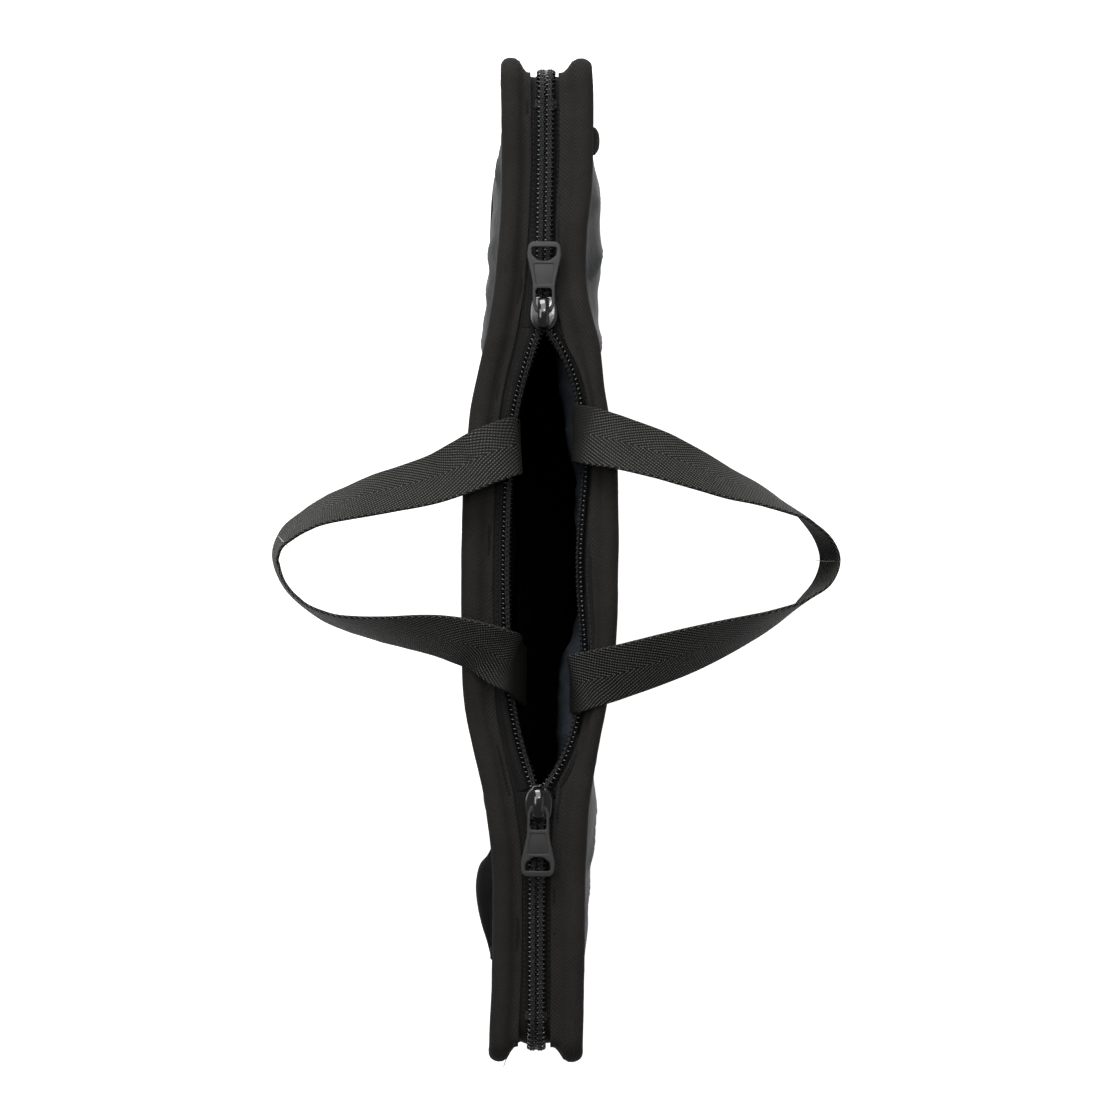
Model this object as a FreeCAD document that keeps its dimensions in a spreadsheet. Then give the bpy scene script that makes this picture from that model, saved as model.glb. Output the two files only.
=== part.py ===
"""Film changing bag: a slim zip-topped carrying bag with two webbing handles and two arm sleeves.

Millimetres. +Z up, +Y along the zip, -X is the front, which carries the arm sleeves.
The origin is the centre of the base, on the surface that the bag stands on.
"""
import FreeCAD, Part
import math
import os

import Sketcher
from FreeCAD import Placement, Rotation, Vector

FRONT, BACK = -1, 1
SIDE_NAME = {FRONT: "front", BACK: "back"}
END_NAME = {1: "far", -1: "near"}

# ---------------------------------------------------------------- sizes

SIZES = [
    # the bag as a whole
    ("body_length", 416, "between the outer faces of the two end gussets"),
    ("body_height", 380, "base to the top of the rims"),
    ("body_depth", 40.4, "over both rims at the ends"),
    # bound rims round both panels
    ("rim_width", 10, "bound rim, across the bag"),
    ("rim_height", 8, "bound rim, in the plane of its panel"),
    ("rim_round", 3.4, "rounding of a rim's outer edges"),
    ("rim_proud", 6, "end rims stand this far past the end gussets"),
    # fabric walls
    ("panel_wall", 1.2, "outer fabric"),
    ("gusset_wall", 1.2, "end and base gusset"),
    ("lining_wall", 0.8, "inner bag"),
    ("lining_gap", 1.0, "between outer fabric and inner bag"),
    ("lining_inset", 13, "inner bag's ends inside the end gussets"),
    ("front_belly", 0.5, "swell of the front panel at mid height"),
    ("back_belly", 5.5, "swell of the back panel at mid height"),
    ("flare_height", 95, "the walls spread to the open mouth over this height"),
    # the open mouth
    ("mouth_reach", 98, "centre to the point where the chain closes"),
    ("mouth_gap_front", 13.5, "centre line to the front chain half, middle of the mouth"),
    ("mouth_gap_back", 16.8, "same for the back half, before its dip"),
    ("mouth_dip_back", 2.3, "the back half sags inwards between the handle's ends"),
    ("mouth_dip_reach", 45, "half length of that sag"),
    ("rim_reach", 118, "centre to where the rims run straight again"),
    # zip
    ("tape_wall", 1.0, "zip tape"),
    ("tape_recess", 4, "tape's upper face below the top of the rims"),
    ("tape_inset", 1.6, "tape's inner edge behind the chain's meeting line"),
    ("coil_width", 3.9, "one half of the chain"),
    ("coil_height", 2.8, "chain above its tape"),
    ("coil_slot", 1.0, "half of the slot that a slider's post runs in"),
    ("zip_bend", 12, "radius in which the zip turns down at each end"),
    ("stop_length", 3, "end stop, along the chain"),
    ("stop_wall", 0.6, "end stop round the chain"),
    # sliders
    ("slider_lead", 5, "middle of a slider beyond the end of the mouth"),
    ("slider_nose", 8, "middle of a slider to its nose, at the mouth"),
    ("slider_tail", 7, "middle of a slider to its tail"),
    ("slider_width", 12.4, "slider at its widest"),
    ("slider_nose_width", 6.4, "flat of the nose"),
    ("slider_tail_width", 11.2, "tail end"),
    ("plate_wall", 1.7, "slider's upper and lower plate"),
    ("slider_clear", 0.35, "slider to chain and tape"),
    ("flange_wall", 0.8, "slider's side walls"),
    ("post_width", 1.5, "post that joins the two plates"),
    ("post_length", 3.6, "post, along the chain"),
    ("slider_corner", 1.5, "rounding at a slider's widest points"),
    # crown and pull
    ("crown_width", 4.4, "bridge that holds the pull"),
    ("crown_wall", 1.3, "bridge's thickness"),
    ("crown_opening", 6.6, "inside length of the bridge"),
    ("crown_room", 2.8, "inside height of the bridge"),
    ("pull_length", 31, "pull, end to end"),
    ("pull_wall", 1.5, "pull's thickness"),
    ("pull_neck", 9.4, "pull's width over the eye and neck"),
    ("pull_end_width", 14.0, "pull at its wide end"),
    ("pull_bar", 1.8, "bar under the bridge"),
    ("pull_eye_width", 6.6, "eye, across"),
    ("pull_eye_length", 8.8, "eye, along the pull"),
    ("pull_window", 6.0, "finger window, along the pull"),
    ("pull_border", 2.4, "material round the window"),
    # webbing handles
    ("strap_width", 25, "webbing"),
    ("strap_wall", 1.5, "webbing"),
    ("strap_clear", 0.6, "webbing to chain and rims"),
    ("strap_lift", 1.4, "rise of the webbing's middle over the rim, where it starts to twist"),
    ("front_root", 48, "centre of the bag to the middle of a front handle end"),
    ("back_root", 53.5, "centre of the bag to the middle of a back handle end"),
    ("front_spread", 113, "front handle's furthest point from the centre plane"),
    ("back_spread", 125, "back handle's furthest point from the centre plane"),
    ("front_droop", 40, "front handle's end below the rims"),
    ("back_droop", 28, "back handle's end below the rims"),
    ("anchor_depth", 52, "handle ends reach this far down inside"),
    ("patch_length", 18, "sewn length of each handle end"),
    # arm sleeves
    ("sleeve_station", 118, "centre of the bag to the middle of a sleeve"),
    ("sleeve_root", 108, "flat width of a sleeve at the bag"),
    ("sleeve_end", 84, "flat width of a sleeve above its cuff"),
    ("sleeve_bore", 4.6, "room inside a flat sleeve"),
    ("sleeve_wall", 0.8, "sleeve fabric"),
    ("sleeve_clear", 0.4, "sleeve to front panel"),
    ("sleeve_gap", 0.3, "sleeve's end to its collar"),
    ("port_height", 285, "lower edge of the arm ports"),
    ("port_inside", 4, "collar inside the inner bag"),
    ("hem_height", 58, "sleeve's lower end above the base"),
    ("cuff_width", 72, "flat width of the gathered cuff"),
    ("cuff_height", 26, "gathered cuff"),
    ("cuff_wall", 1.4, "gathered cuff"),
    ("elastic_wall", 0.5, "elastic inside the cuff"),
    ("elastic_height", 18, "elastic inside the cuff"),
    # small trim
    ("tab_length", 13, "side tab, along the rim"),
    ("tab_wall", 3, "side tab, folded"),
    ("tab_drop", 14, "side tab, down the panel"),
    ("tab_inset", 28, "end gusset to the middle of the side tab"),
]

MOUTH_SHAPE = {FRONT: 3.0, BACK: 5.0}      # how full the open mouth is towards its ends
RIM_SHAPE, RIM_FADE = 2.6, 1.8             # the same for the rims, which fade out smoothly
MOUTH_STATIONS = (0.0, 0.25, 0.5, 0.7, 0.85, 0.94)
RIM_STATIONS = (0.0, 0.2, 0.4, 0.6, 0.75, 0.9)

doc = FreeCAD.newDocument("changing_bag")
sheet = doc.addObject("Spreadsheet::Sheet", "Sizes")
for row, (alias, value, meaning) in enumerate(SIZES, start=1):
    sheet.set(f"A{row}", alias)
    sheet.set(f"B{row}", str(value))
    sheet.set(f"C{row}", meaning)
    sheet.setAlias(f"B{row}", alias)
doc.recompute()
S = {alias: float(sheet.get(alias)) for alias, _, _ in SIZES}

HEIGHT = S["body_height"]
HALF_DEPTH = S["body_depth"] / 2
GUSSET_FACE = S["body_length"] / 2
RIM_END = GUSSET_FACE + S["rim_proud"]               # outer face of the end rims
PANEL_END = RIM_END - S["rim_height"]                # the panels stop at the end rims
RIM_INNER = HALF_DEPTH - S["rim_width"]              # inner face of the rims, closed stretch
TAPE_TOP = HEIGHT - S["tape_recess"]
TAPE_UNDER = TAPE_TOP - S["tape_wall"]
COIL_TOP = TAPE_TOP + S["coil_height"]
BEND_START = GUSSET_FACE - S["zip_bend"]             # the zip runs level up to here
SLEEVE_BACK = HALF_DEPTH + S["front_belly"] + S["sleeve_clear"]
SLEEVE_THICK = S["sleeve_bore"] + 2 * S["sleeve_wall"]
CUFF_THICK = S["sleeve_bore"] + 2 * S["cuff_wall"]
SLEEVE_OFFSET = max(SLEEVE_THICK, CUFF_THICK) / 2    # from a sleeve's hinge to the middle of its bore

nodes = []                                           # the objects that become sub-parts


# ---------------------------------------------------------------- helpers

def node(thing, label):
    thing.Label = label
    nodes.append(thing)
    return thing


def feature(label, shape):
    thing = doc.addObject("Part::Feature", label)
    thing.Shape = shape
    return node(thing, label)


def bind(thing, **expressions):
    for path, expression in expressions.items():
        thing.setExpression(path.replace("__", "."), expression)


def size(alias):
    return f"Sizes.{alias}"


def smooth(t):
    t = min(max(t, 0.0), 1.0)
    return t * t * (3 - 2 * t)


def line(a, b):
    return Part.LineSegment(a, b).toShape()


def spline(points, tangent=None):
    curve = Part.BSplineCurve()
    if tangent is None:
        curve.interpolate(points)
    else:
        curve.interpolate(Points=points, InitialTangent=tangent, FinalTangent=tangent)
    return curve.toShape()


def closed_wire(edges):
    return Part.Wire(Part.__sortEdges__(edges))


def both_ends(stations):
    """The same stations on both sides of the middle, in order."""
    return [-t for t in reversed(stations) if t] + list(stations)


# ---------------------------------------------------------------- the lines of the mouth

def mouth_line(side, y):
    """Centre plane to the chain's meeting line: 0 where the zip is closed."""
    gap = S["mouth_gap_front"] if side == FRONT else S["mouth_gap_back"]
    dip = 0 if side == FRONT else S["mouth_dip_back"]
    t = min(abs(y) / S["mouth_reach"], 1.0)
    sag = dip * max(0.0, 1 - (y / S["mouth_dip_reach"]) ** 2) ** 2
    return gap * (1 - t ** MOUTH_SHAPE[side]) - sag


def rim_line(y):
    """How far the open mouth pushes the rims apart."""
    t = min(abs(y) / S["rim_reach"], 1.0)
    return S["mouth_gap_front"] * (1 - t ** RIM_SHAPE) ** RIM_FADE


def mouth_edges(side, offset, end, z):
    reach = S["mouth_reach"]

    def at(y):
        return Vector(side * (mouth_line(side, y) + offset), y, z)

    ends = [line(at(-end), at(-reach)), line(at(reach), at(end))]
    points = [at(t * reach) for t in both_ends(MOUTH_STATIONS + (1.0,))]
    return [ends[0], spline(points), ends[1]]


def rim_edges(side, offset, end, z):
    reach = S["rim_reach"]

    def at(y):
        return Vector(side * (rim_line(y) + offset), y, z)

    ends = [line(at(-end), at(-reach)), line(at(reach), at(end))]
    points = [at(t * reach) for t in both_ends(RIM_STATIONS + (1.0,))]
    return [ends[0], spline(points, Vector(0, 1, 0)), ends[1]]


def band(inner, outer, height):
    """A flat strip between two lines that run along the mouth, raised by height."""
    caps = [line(inner[0].firstVertex(True).Point, outer[0].firstVertex(True).Point),
            line(inner[-1].lastVertex(True).Point, outer[-1].lastVertex(True).Point)]
    return Part.Face(closed_wire(inner + outer + caps)).extrude(Vector(0, 0, height))


def end_bend(side, near, far, low, high, end):
    """A strip of the zip turned down over the end of the bag: near..far across, low..high in z."""
    x = sorted((side * near, side * far))
    corners = [Vector(x[0], end * BEND_START, low), Vector(x[1], end * BEND_START, low),
               Vector(x[1], end * BEND_START, high), Vector(x[0], end * BEND_START, high)]
    face = Part.Face(Part.makePolygon(corners + corners[:1]))
    axis = Vector(0, end * BEND_START, TAPE_TOP - S["zip_bend"])
    return face.revolve(axis, Vector(1, 0, 0), -end * 90)


# ---------------------------------------------------------------- walls

def flare(z):
    return smooth((z - (HEIGHT - S["flare_height"])) / (S["flare_height"] - S["rim_height"]))


def wall_depth(side, y, z):
    """Centre plane to the outer face of the front or back panel."""
    belly = S["front_belly"] if side == FRONT else S["back_belly"]
    across = 1 - min(abs(y) / PANEL_END, 1.0) ** 4
    up = math.sin(math.pi * min(max(z / HEIGHT, 0.0), 1.0)) ** 0.7
    return HALF_DEPTH + belly * across * up * (1 - flare(z)) + rim_line(y) * flare(z)


def lining_depth(side, y, z):
    """Centre plane to the outer face of the inner bag, which tucks in under the zip tape."""
    tuck = smooth((z - (HEIGHT - 34)) / 22)
    outside = wall_depth(side, y, z) - S["panel_wall"] - S["lining_gap"]
    under_tape = rim_line(y) + RIM_INNER - S["lining_gap"]
    return outside * (1 - tuck) + under_tape * tuck


def curved_wall(side, depth, wall, end, levels):
    """A fabric wall that follows depth(side, y, z) between two ends, lofted through its levels."""
    stations = [end * t for t in both_ends((0.0, 0.14, 0.28, 0.4, 0.52, 0.66, 0.82, 1.0))]
    wires = []
    for z in levels:
        outer = [Vector(side * depth(side, y, z), y, z) for y in stations]
        inner = [Vector(side * (depth(side, y, z) - wall), y, z) for y in stations]
        wires.append(Part.Wire([spline(outer), line(outer[-1], inner[-1]),
                                spline(list(reversed(inner))), line(inner[0], outer[0])]))
    return Part.makeLoft(wires, True, True)


def panel_levels():
    low, high = S["rim_height"], HEIGHT - S["rim_height"]
    start = HEIGHT - S["flare_height"]
    return [low, low + 0.25 * (start - low), low + 0.55 * (start - low), start,
            start + 0.3 * (high - start), start + 0.65 * (high - start), high]


def lining_levels():
    low = S["rim_height"] + S["lining_gap"]
    start = HEIGHT - S["flare_height"]
    return [low, 0.5 * (low + start), start, HEIGHT - 60, HEIGHT - 36, HEIGHT - 26, HEIGHT - 16, TAPE_UNDER]


def flat_tube_wire(width, thick, centre, normal):
    """A flat oval: straight sides and round ends, in the plane across normal (X or Z)."""
    r = thick / 2
    half = width / 2 - r
    across = Vector(1, 0, 0) if normal == "Z" else Vector(0, 0, 1)
    along = Vector(0, 1, 0)

    def at(a, b):
        return centre + across * a + along * b

    return Part.Wire([line(at(r, -half), at(r, half)),
                      Part.Arc(at(r, half), at(0, half + r), at(-r, half)).toShape(),
                      line(at(-r, half), at(-r, -half)),
                      Part.Arc(at(-r, -half), at(0, -half - r), at(r, -half)).toShape()])


def flat_prism(width, thick, centre, normal, length):
    direction = Vector(0, 0, length) if normal == "Z" else Vector(length, 0, 0)
    return Part.Face(flat_tube_wire(width, thick, centre, normal)).extrude(direction)


def port_cutter(y):
    """The outside of an arm port's collar, run right through the front walls."""
    centre = Vector(-SLEEVE_BACK, y, S["port_height"] + SLEEVE_OFFSET)
    return flat_prism(S["sleeve_root"], SLEEVE_THICK, centre, "X", SLEEVE_BACK)


def make_walls():
    ports = [port_cutter(end * S["sleeve_station"]) for end in (1, -1)]
    for side in (FRONT, BACK):
        panel = curved_wall(side, wall_depth, S["panel_wall"], PANEL_END, panel_levels())
        lining = curved_wall(side, lining_depth, S["lining_wall"], GUSSET_FACE - S["lining_inset"],
                             lining_levels())
        if side == FRONT:
            panel = panel.cut(ports)
            lining = lining.cut(ports)
        feature(f"{SIDE_NAME[side]}_panel", panel)
        feature(f"{SIDE_NAME[side]}_lining", lining)


def make_gussets():
    for end in (1, -1):
        gusset = doc.addObject("Part::Box", f"{END_NAME[end]}_end_gusset")
        bind(gusset, Length=f"{size('body_depth')} - 2 * {size('rim_width')}", Width=size("gusset_wall"),
             Height=f"{size('body_height')} - {size('tape_recess')} - {size('zip_bend')}"
                    f" - {size('gusset_wall')}",
             Placement__Base__x=f"{size('rim_width')} - {size('body_depth')} / 2",
             Placement__Base__y=(f"{size('body_length')} / 2 - {size('gusset_wall')}" if end > 0
                                 else f"-{size('body_length')} / 2"),
             Placement__Base__z=size("gusset_wall"))
        node(gusset, f"{END_NAME[end]}_end_gusset")
    base = doc.addObject("Part::Box", "base_gusset")
    bind(base, Length=f"{size('body_depth')} - 2 * {size('rim_width')}", Width=size("body_length"),
         Height=size("gusset_wall"),
         Placement__Base__x=f"{size('rim_width')} - {size('body_depth')} / 2",
         Placement__Base__y=f"-{size('body_length')} / 2")
    node(base, "base_gusset")


def make_lining_gussets():
    end_y = GUSSET_FACE - S["lining_inset"]
    low = S["rim_height"] + S["lining_gap"]
    wall = S["lining_wall"]
    half = HALF_DEPTH - S["panel_wall"] - S["lining_gap"]
    high = HEIGHT - 34
    ends = []
    for end in (1, -1):
        y = end_y if end > 0 else -end_y - wall
        ends.append(Part.makeBox(2 * half, wall, high - low, Vector(-half, y, low)))
    feature("lining_ends", Part.makeCompound(ends))
    feature("lining_base", Part.makeBox(2 * half, 2 * (end_y + wall), wall,
                                        Vector(-half, -end_y - wall, low - wall)))


# ---------------------------------------------------------------- rims

def rounded(shape, wanted, radius):
    edges = [e for e in shape.Edges if wanted(e)]
    return shape.makeFillet(radius, edges)


def make_top_rims():
    for side in (FRONT, BACK):
        z = HEIGHT - S["rim_height"]
        bar = band(rim_edges(side, RIM_INNER, PANEL_END, z),
                   rim_edges(side, HALF_DEPTH, PANEL_END, z), S["rim_height"])
        bar = rounded(bar, lambda e: e.BoundBox.ZMin > HEIGHT - 0.01 and e.BoundBox.YLength > 1,
                      S["rim_round"])
        feature(f"{SIDE_NAME[side]}_top_rim", bar)


def make_base_rims():
    """Straight bound edges that the bag stands on."""
    for side in (FRONT, BACK):
        name = f"{SIDE_NAME[side]}_base_rim"
        blank = doc.addObject("Part::Box", name + "_blank")
        bind(blank, Length=size("rim_width"), Height=size("rim_height"),
             Width=f"{size('body_length')} + 2 * {size('rim_proud')} - 2 * {size('rim_height')}",
             Placement__Base__x=(f"-{size('body_depth')} / 2" if side == FRONT
                                 else f"{size('body_depth')} / 2 - {size('rim_width')}"),
             Placement__Base__y=f"{size('rim_height')} - {size('body_length')} / 2 - {size('rim_proud')}")
        doc.recompute()
        rim = doc.addObject("Part::Fillet", name)
        rim.Base = blank
        rim.Edges = [(i, S["rim_round"], S["rim_round"]) for i, e in enumerate(blank.Shape.Edges, start=1)
                     if e.BoundBox.ZMax < 0.01 and e.BoundBox.YLength > 1]
        node(rim, name)


def make_end_rims():
    """The bound edges that stand up the four corners and show as ears above the zip's ends."""
    for side in (FRONT, BACK):
        bars = []
        for end in (1, -1):
            x = -HALF_DEPTH if side == FRONT else RIM_INNER
            y = PANEL_END if end > 0 else -RIM_END
            bar = Part.makeBox(S["rim_width"], S["rim_height"], HEIGHT, Vector(x, y, 0))
            outer = end * RIM_END
            bar = rounded(bar, lambda e, face=outer: abs(e.BoundBox.YMin - face) < 0.01
                          and abs(e.BoundBox.YMax - face) < 0.01, S["rim_round"])
            bars.append(bar)
        feature(f"{SIDE_NAME[side]}_end_rims", Part.makeCompound(bars))


# ---------------------------------------------------------------- zip

def make_zip():
    for side in (FRONT, BACK):
        tape = band(mouth_edges(side, S["tape_inset"], BEND_START, TAPE_UNDER),
                    rim_edges(side, RIM_INNER, BEND_START, TAPE_UNDER), S["tape_wall"])
        turns = [end_bend(side, S["tape_inset"], RIM_INNER, TAPE_UNDER, TAPE_TOP, end) for end in (1, -1)]
        feature(f"{SIDE_NAME[side]}_zip_tape", tape.fuse(turns).removeSplitter())
        coil = band(mouth_edges(side, S["coil_slot"], BEND_START, TAPE_TOP),
                    mouth_edges(side, S["coil_width"], BEND_START, TAPE_TOP), S["coil_height"])
        turns = [end_bend(side, S["coil_slot"], S["coil_width"], TAPE_TOP, COIL_TOP, end) for end in (1, -1)]
        feature(f"{SIDE_NAME[side]}_zip_coil", coil.fuse(turns).removeSplitter())


def make_zip_stops():
    """A folded metal stop over the chain, just before each end bend."""
    half = S["coil_width"] + S["stop_wall"]
    stops = []
    for end in (1, -1):
        y = BEND_START - S["stop_length"] if end > 0 else -BEND_START
        block = Part.makeBox(2 * half, S["stop_length"], S["coil_height"] + S["stop_wall"],
                             Vector(-half, y, TAPE_TOP))
        chain = Part.makeBox(2 * S["coil_width"], S["stop_length"], S["coil_height"],
                             Vector(-S["coil_width"], y, TAPE_TOP))
        stops.append(block.cut(chain))
    feature("zip_end_stops", Part.makeCompound(stops))


def plane_of(body, role):
    return next(f for f in body.Origin.OriginFeatures if f.Role == role)


def new_sketch(body, name, role, offset=""):
    sketch = body.newObject("Sketcher::SketchObject", name)
    sketch.AttachmentSupport = [(plane_of(body, role), "")]
    sketch.MapMode = "FlatFace"
    if offset:
        sketch.setExpression("AttachmentOffset.Base.z", offset)
    return sketch


def polygon(sketch, points):
    """A closed outline. Each point is a pair of expressions, held by two distances from the origin."""
    values = [[float(sheet.evalExpression(e)) for e in p] for p in points]
    count = len(values)
    for i, (x, y) in enumerate(values):
        nx, ny = values[(i + 1) % count]
        sketch.addGeometry(Part.LineSegment(Vector(x, y, 0), Vector(nx, ny, 0)), False)
    for i in range(count):
        sketch.addConstraint(Sketcher.Constraint("Coincident", i, 2, (i + 1) % count, 1))
    for i, (x, y) in enumerate(values):
        for kind, value, expression in (("DistanceX", x, points[i][0]), ("DistanceY", y, points[i][1])):
            index = sketch.addConstraint(Sketcher.Constraint(kind, -1, 1, i, 1, value))
            sketch.setExpression(f"Constraints[{index}]", expression)


def pad(body, sketch, length, midplane=False):
    grown = body.newObject("PartDesign::Pad", sketch.Name + "_pad")
    grown.Profile = sketch
    grown.Length = 1
    grown.setExpression("Length", length)
    grown.Midplane = midplane
    doc.recompute()
    return grown


def pocket(body, sketch, length, midplane=False):
    before = body.Shape.Volume
    cut = body.newObject("PartDesign::Pocket", sketch.Name + "_pocket")
    cut.Profile = sketch
    cut.Length = 1
    cut.setExpression("Length", length)
    cut.Midplane = midplane
    doc.recompute()
    if body.Shape.Volume > before - 1e-6:
        cut.Reversed = True
        doc.recompute()
    if body.Shape.Volume > before - 1e-6:
        raise RuntimeError(f"{sketch.Name} cuts nothing")
    return cut


def fillet_edges(body, base, radius, wanted):
    names = [f"Edge{i}" for i, e in enumerate(base.Shape.Edges, start=1) if wanted(e)]
    fillet = body.newObject("PartDesign::Fillet", base.Name + "_round")
    fillet.Base = (base, names)
    fillet.setExpression("Radius", radius)
    doc.recompute()
    return fillet


def place_on_chain(thing, end):
    """Puts a piece drawn round a slider's middle on the chain, nose towards the mouth."""
    thing.Placement = Placement(Vector(0, 0, 0), Rotation(Vector(0, 0, 1), 0 if end > 0 else 180))
    bind(thing, Placement__Base__y=f"{end} * ({size('mouth_reach')} + {size('slider_lead')})",
         Placement__Base__z=f"{size('body_height')} - {size('tape_recess')}")


def both_hands(right):
    """A symmetrical outline from its right-hand points."""
    return right + [(f"-({x})", y) for x, y in reversed(right)]


def slider_outline():
    """Shield-shaped plate: a narrow nose at the mouth, widest just behind it."""
    nose, tail = size("slider_nose"), size("slider_tail")
    half, nose_half = f"{size('slider_width')} / 2", f"{size('slider_nose_width')} / 2"
    tail_half = f"{size('slider_tail_width')} / 2"
    return both_hands([(nose_half, f"-{nose}"), (half, f"-{nose} / 2"), (half, f"{tail} / 7"),
                       (tail_half, tail)])


def make_slider(end):
    """Upper and lower plate joined by a post, with side walls hanging from the upper plate."""
    name = f"{END_NAME[end]}_slider"
    body = doc.addObject("PartDesign::Body", name)
    top_z = f"{size('coil_height')} + {size('slider_clear')}"
    low_z = f"-{size('tape_wall')} - {size('slider_clear')} - {size('plate_wall')}"
    post = new_sketch(body, name + "_post", "XY_Plane", low_z)
    nose = size("slider_nose")
    half_post = f"{size('post_width')} / 2"
    front = f"-{nose} + {size('slider_clear')}"
    polygon(post, both_hands([(half_post, front), (half_post, f"{front} + {size('post_length')}")]))
    pad(body, post, f"{size('coil_height')} + {size('tape_wall')} + 2 * {size('slider_clear')}"
                    f" + 2 * {size('plate_wall')}")
    upper = new_sketch(body, name + "_upper", "XY_Plane", top_z)
    polygon(upper, slider_outline())
    pad(body, upper, size("plate_wall"))
    lower = new_sketch(body, name + "_lower", "XY_Plane", low_z)
    polygon(lower, slider_outline())
    last = pad(body, lower, size("plate_wall"))
    for hand in (1, -1):
        wall = new_sketch(body, f"{name}_wall{'_left' if hand < 0 else '_right'}", "XY_Plane",
                          size("slider_clear"))
        outer = f"{hand} * {size('slider_tail_width')} / 2"
        inner = f"{hand} * ({size('slider_tail_width')} / 2 - {size('flange_wall')})"
        polygon(wall, [(inner, f"-{nose} / 2"), (outer, f"-{nose} / 2"), (outer, size("slider_tail")),
                       (inner, size("slider_tail"))])
        last = pad(body, wall, size("coil_height"))
    fillet_edges(body, last, size("slider_corner"), widest_corner)
    place_on_chain(body, end)
    doc.recompute()
    node(body, name)


def widest_corner(edge):
    """An upright edge at the widest point of a slider's plate."""
    box = edge.BoundBox
    tall = abs(box.ZLength - S["plate_wall"]) < 0.01 and box.XLength < 0.01 and box.YLength < 0.01
    return tall and abs(abs(box.XMin) - S["slider_width"] / 2) < 0.01


def make_crown(end):
    """Bridge on the slider's upper plate, drawn in the plane of the chain."""
    name = f"{END_NAME[end]}_slider_bridge"
    body = doc.addObject("PartDesign::Body", name)
    plate = f"{size('coil_height')} + {size('slider_clear')} + {size('plate_wall')}"
    half = f"{size('crown_opening')} / 2"
    wall = size("crown_wall")
    room = f"{plate} + {size('crown_room')}"
    arch = new_sketch(body, name + "_arch", "YZ_Plane")
    polygon(arch, [(f"-{half} - {wall}", plate), (f"-{half}", plate), (f"-{half}", room), (half, room),
                   (half, plate), (f"{half} + {wall}", plate), (f"{half} + {wall}", f"{room} + {wall}"),
                   (f"-{half} - {wall}", f"{room} + {wall}")])
    base = pad(body, arch, size("crown_width"), midplane=True)
    top = S["coil_height"] + S["slider_clear"] + S["plate_wall"] + S["crown_room"] + S["crown_wall"]
    fillet_edges(body, base, "Sizes.crown_wall * 0.9",
                 lambda e: e.BoundBox.ZMin > top - 0.01 and e.BoundBox.YLength < 0.01)
    place_on_chain(body, end)
    doc.recompute()
    node(body, name)


def make_pull(end):
    """Flat pull: an eye round the bridge, a waisted neck and a wide end with a finger window."""
    name = f"{END_NAME[end]}_pull"
    body = doc.addObject("PartDesign::Body", name)
    level = (f"{size('coil_height')} + {size('slider_clear')} + {size('plate_wall')}"
             f" + {size('crown_room')} / 2 - {size('pull_wall')} / 2")
    start = f"{size('crown_opening')} / 2 - {size('pull_bar')} - {size('slider_clear')}"
    neck, wide = f"{size('pull_neck')} / 2", f"{size('pull_end_width')} / 2"
    finish = f"{start} + {size('pull_length')}"
    right = [(f"{size('pull_eye_width')} / 2", start), (neck, f"{start} + {size('pull_bar')}"),
             (neck, f"{start} + {size('pull_length')} / 2"),
             (wide, f"{finish} - {size('pull_border')}"), (f"{wide} - {size('pull_border')}", finish)]
    outline = new_sketch(body, name + "_outline", "XY_Plane", level)
    polygon(outline, both_hands(right))
    base = pad(body, outline, size("pull_wall"))
    fillet_edges(body, base, "Sizes.pull_border * 0.8",
                 lambda e: e.BoundBox.XLength < 0.01 and e.BoundBox.YLength < 0.01)
    eye = new_sketch(body, name + "_eye", "XY_Plane", level)
    eye_half, eye_start = f"{size('pull_eye_width')} / 2", f"{start} + {size('pull_bar')}"
    polygon(eye, both_hands([(eye_half, eye_start),
                             (eye_half, f"{eye_start} + {size('pull_eye_length')}")]))
    pocket(body, eye, f"{size('pull_wall')} * 2", midplane=True)
    window = new_sketch(body, name + "_window", "XY_Plane", level)
    top = f"{finish} - {size('pull_border')}"
    window_half = f"{wide} - {size('pull_border')}"
    polygon(window, both_hands([(window_half, top), (window_half, f"{top} - {size('pull_window')} / 2"),
                                (f"{wide} / 2", f"{top} - {size('pull_window')}")]))
    pocket(body, window, f"{size('pull_wall')} * 2", midplane=True)
    place_on_chain(body, end)
    doc.recompute()
    node(body, name)


# ---------------------------------------------------------------- handles

HANDLES = {
    FRONT: {"root": "front_root", "spread": "front_spread", "droop": "front_droop", "turn": 82},
    BACK: {"root": "back_root", "spread": "back_spread", "droop": "back_droop", "turn": 104},
}


def hinge_x(side):
    """The webbing comes up just inside the chain half, at its nearest corner."""
    outer_corner = S[HANDLES[side]["root"]] + S["strap_width"] / 2
    return mouth_line(side, outer_corner) - S["strap_wall"] / 2 - S["strap_clear"]


def hinge_z():
    return HEIGHT + S["strap_wall"] / 2 + S["strap_clear"]


def handle_centre(side):
    """Half of the handle's centre line, from its root to its furthest point: (out, along, z, twist)."""
    h = HANDLES[side]
    root, spread, droop = S[h["root"]], S[h["spread"]], S[h["droop"]]
    start, z = hinge_x(side), hinge_z()
    over = HALF_DEPTH + rim_line(0)
    free = spread - over
    return [
        (start, root, z, 0),
        (over + 1, 0.84 * root, z + S["strap_lift"], 4),
        (over + 7, 0.79 * root, z + S["strap_lift"], 14),
        (over + 0.28 * free, 0.66 * root, z - 0.10 * droop, 32),
        (over + 0.52 * free, 0.46 * root, z - 0.36 * droop, 48),
        (over + 0.78 * free, 0.27 * root, z - 0.70 * droop, 66),
        (over + 0.94 * free, 0.13 * root, z - 0.92 * droop, 0.93 * h["turn"]),
        (spread, 0.0, z - droop, h["turn"]),
    ]


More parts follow.
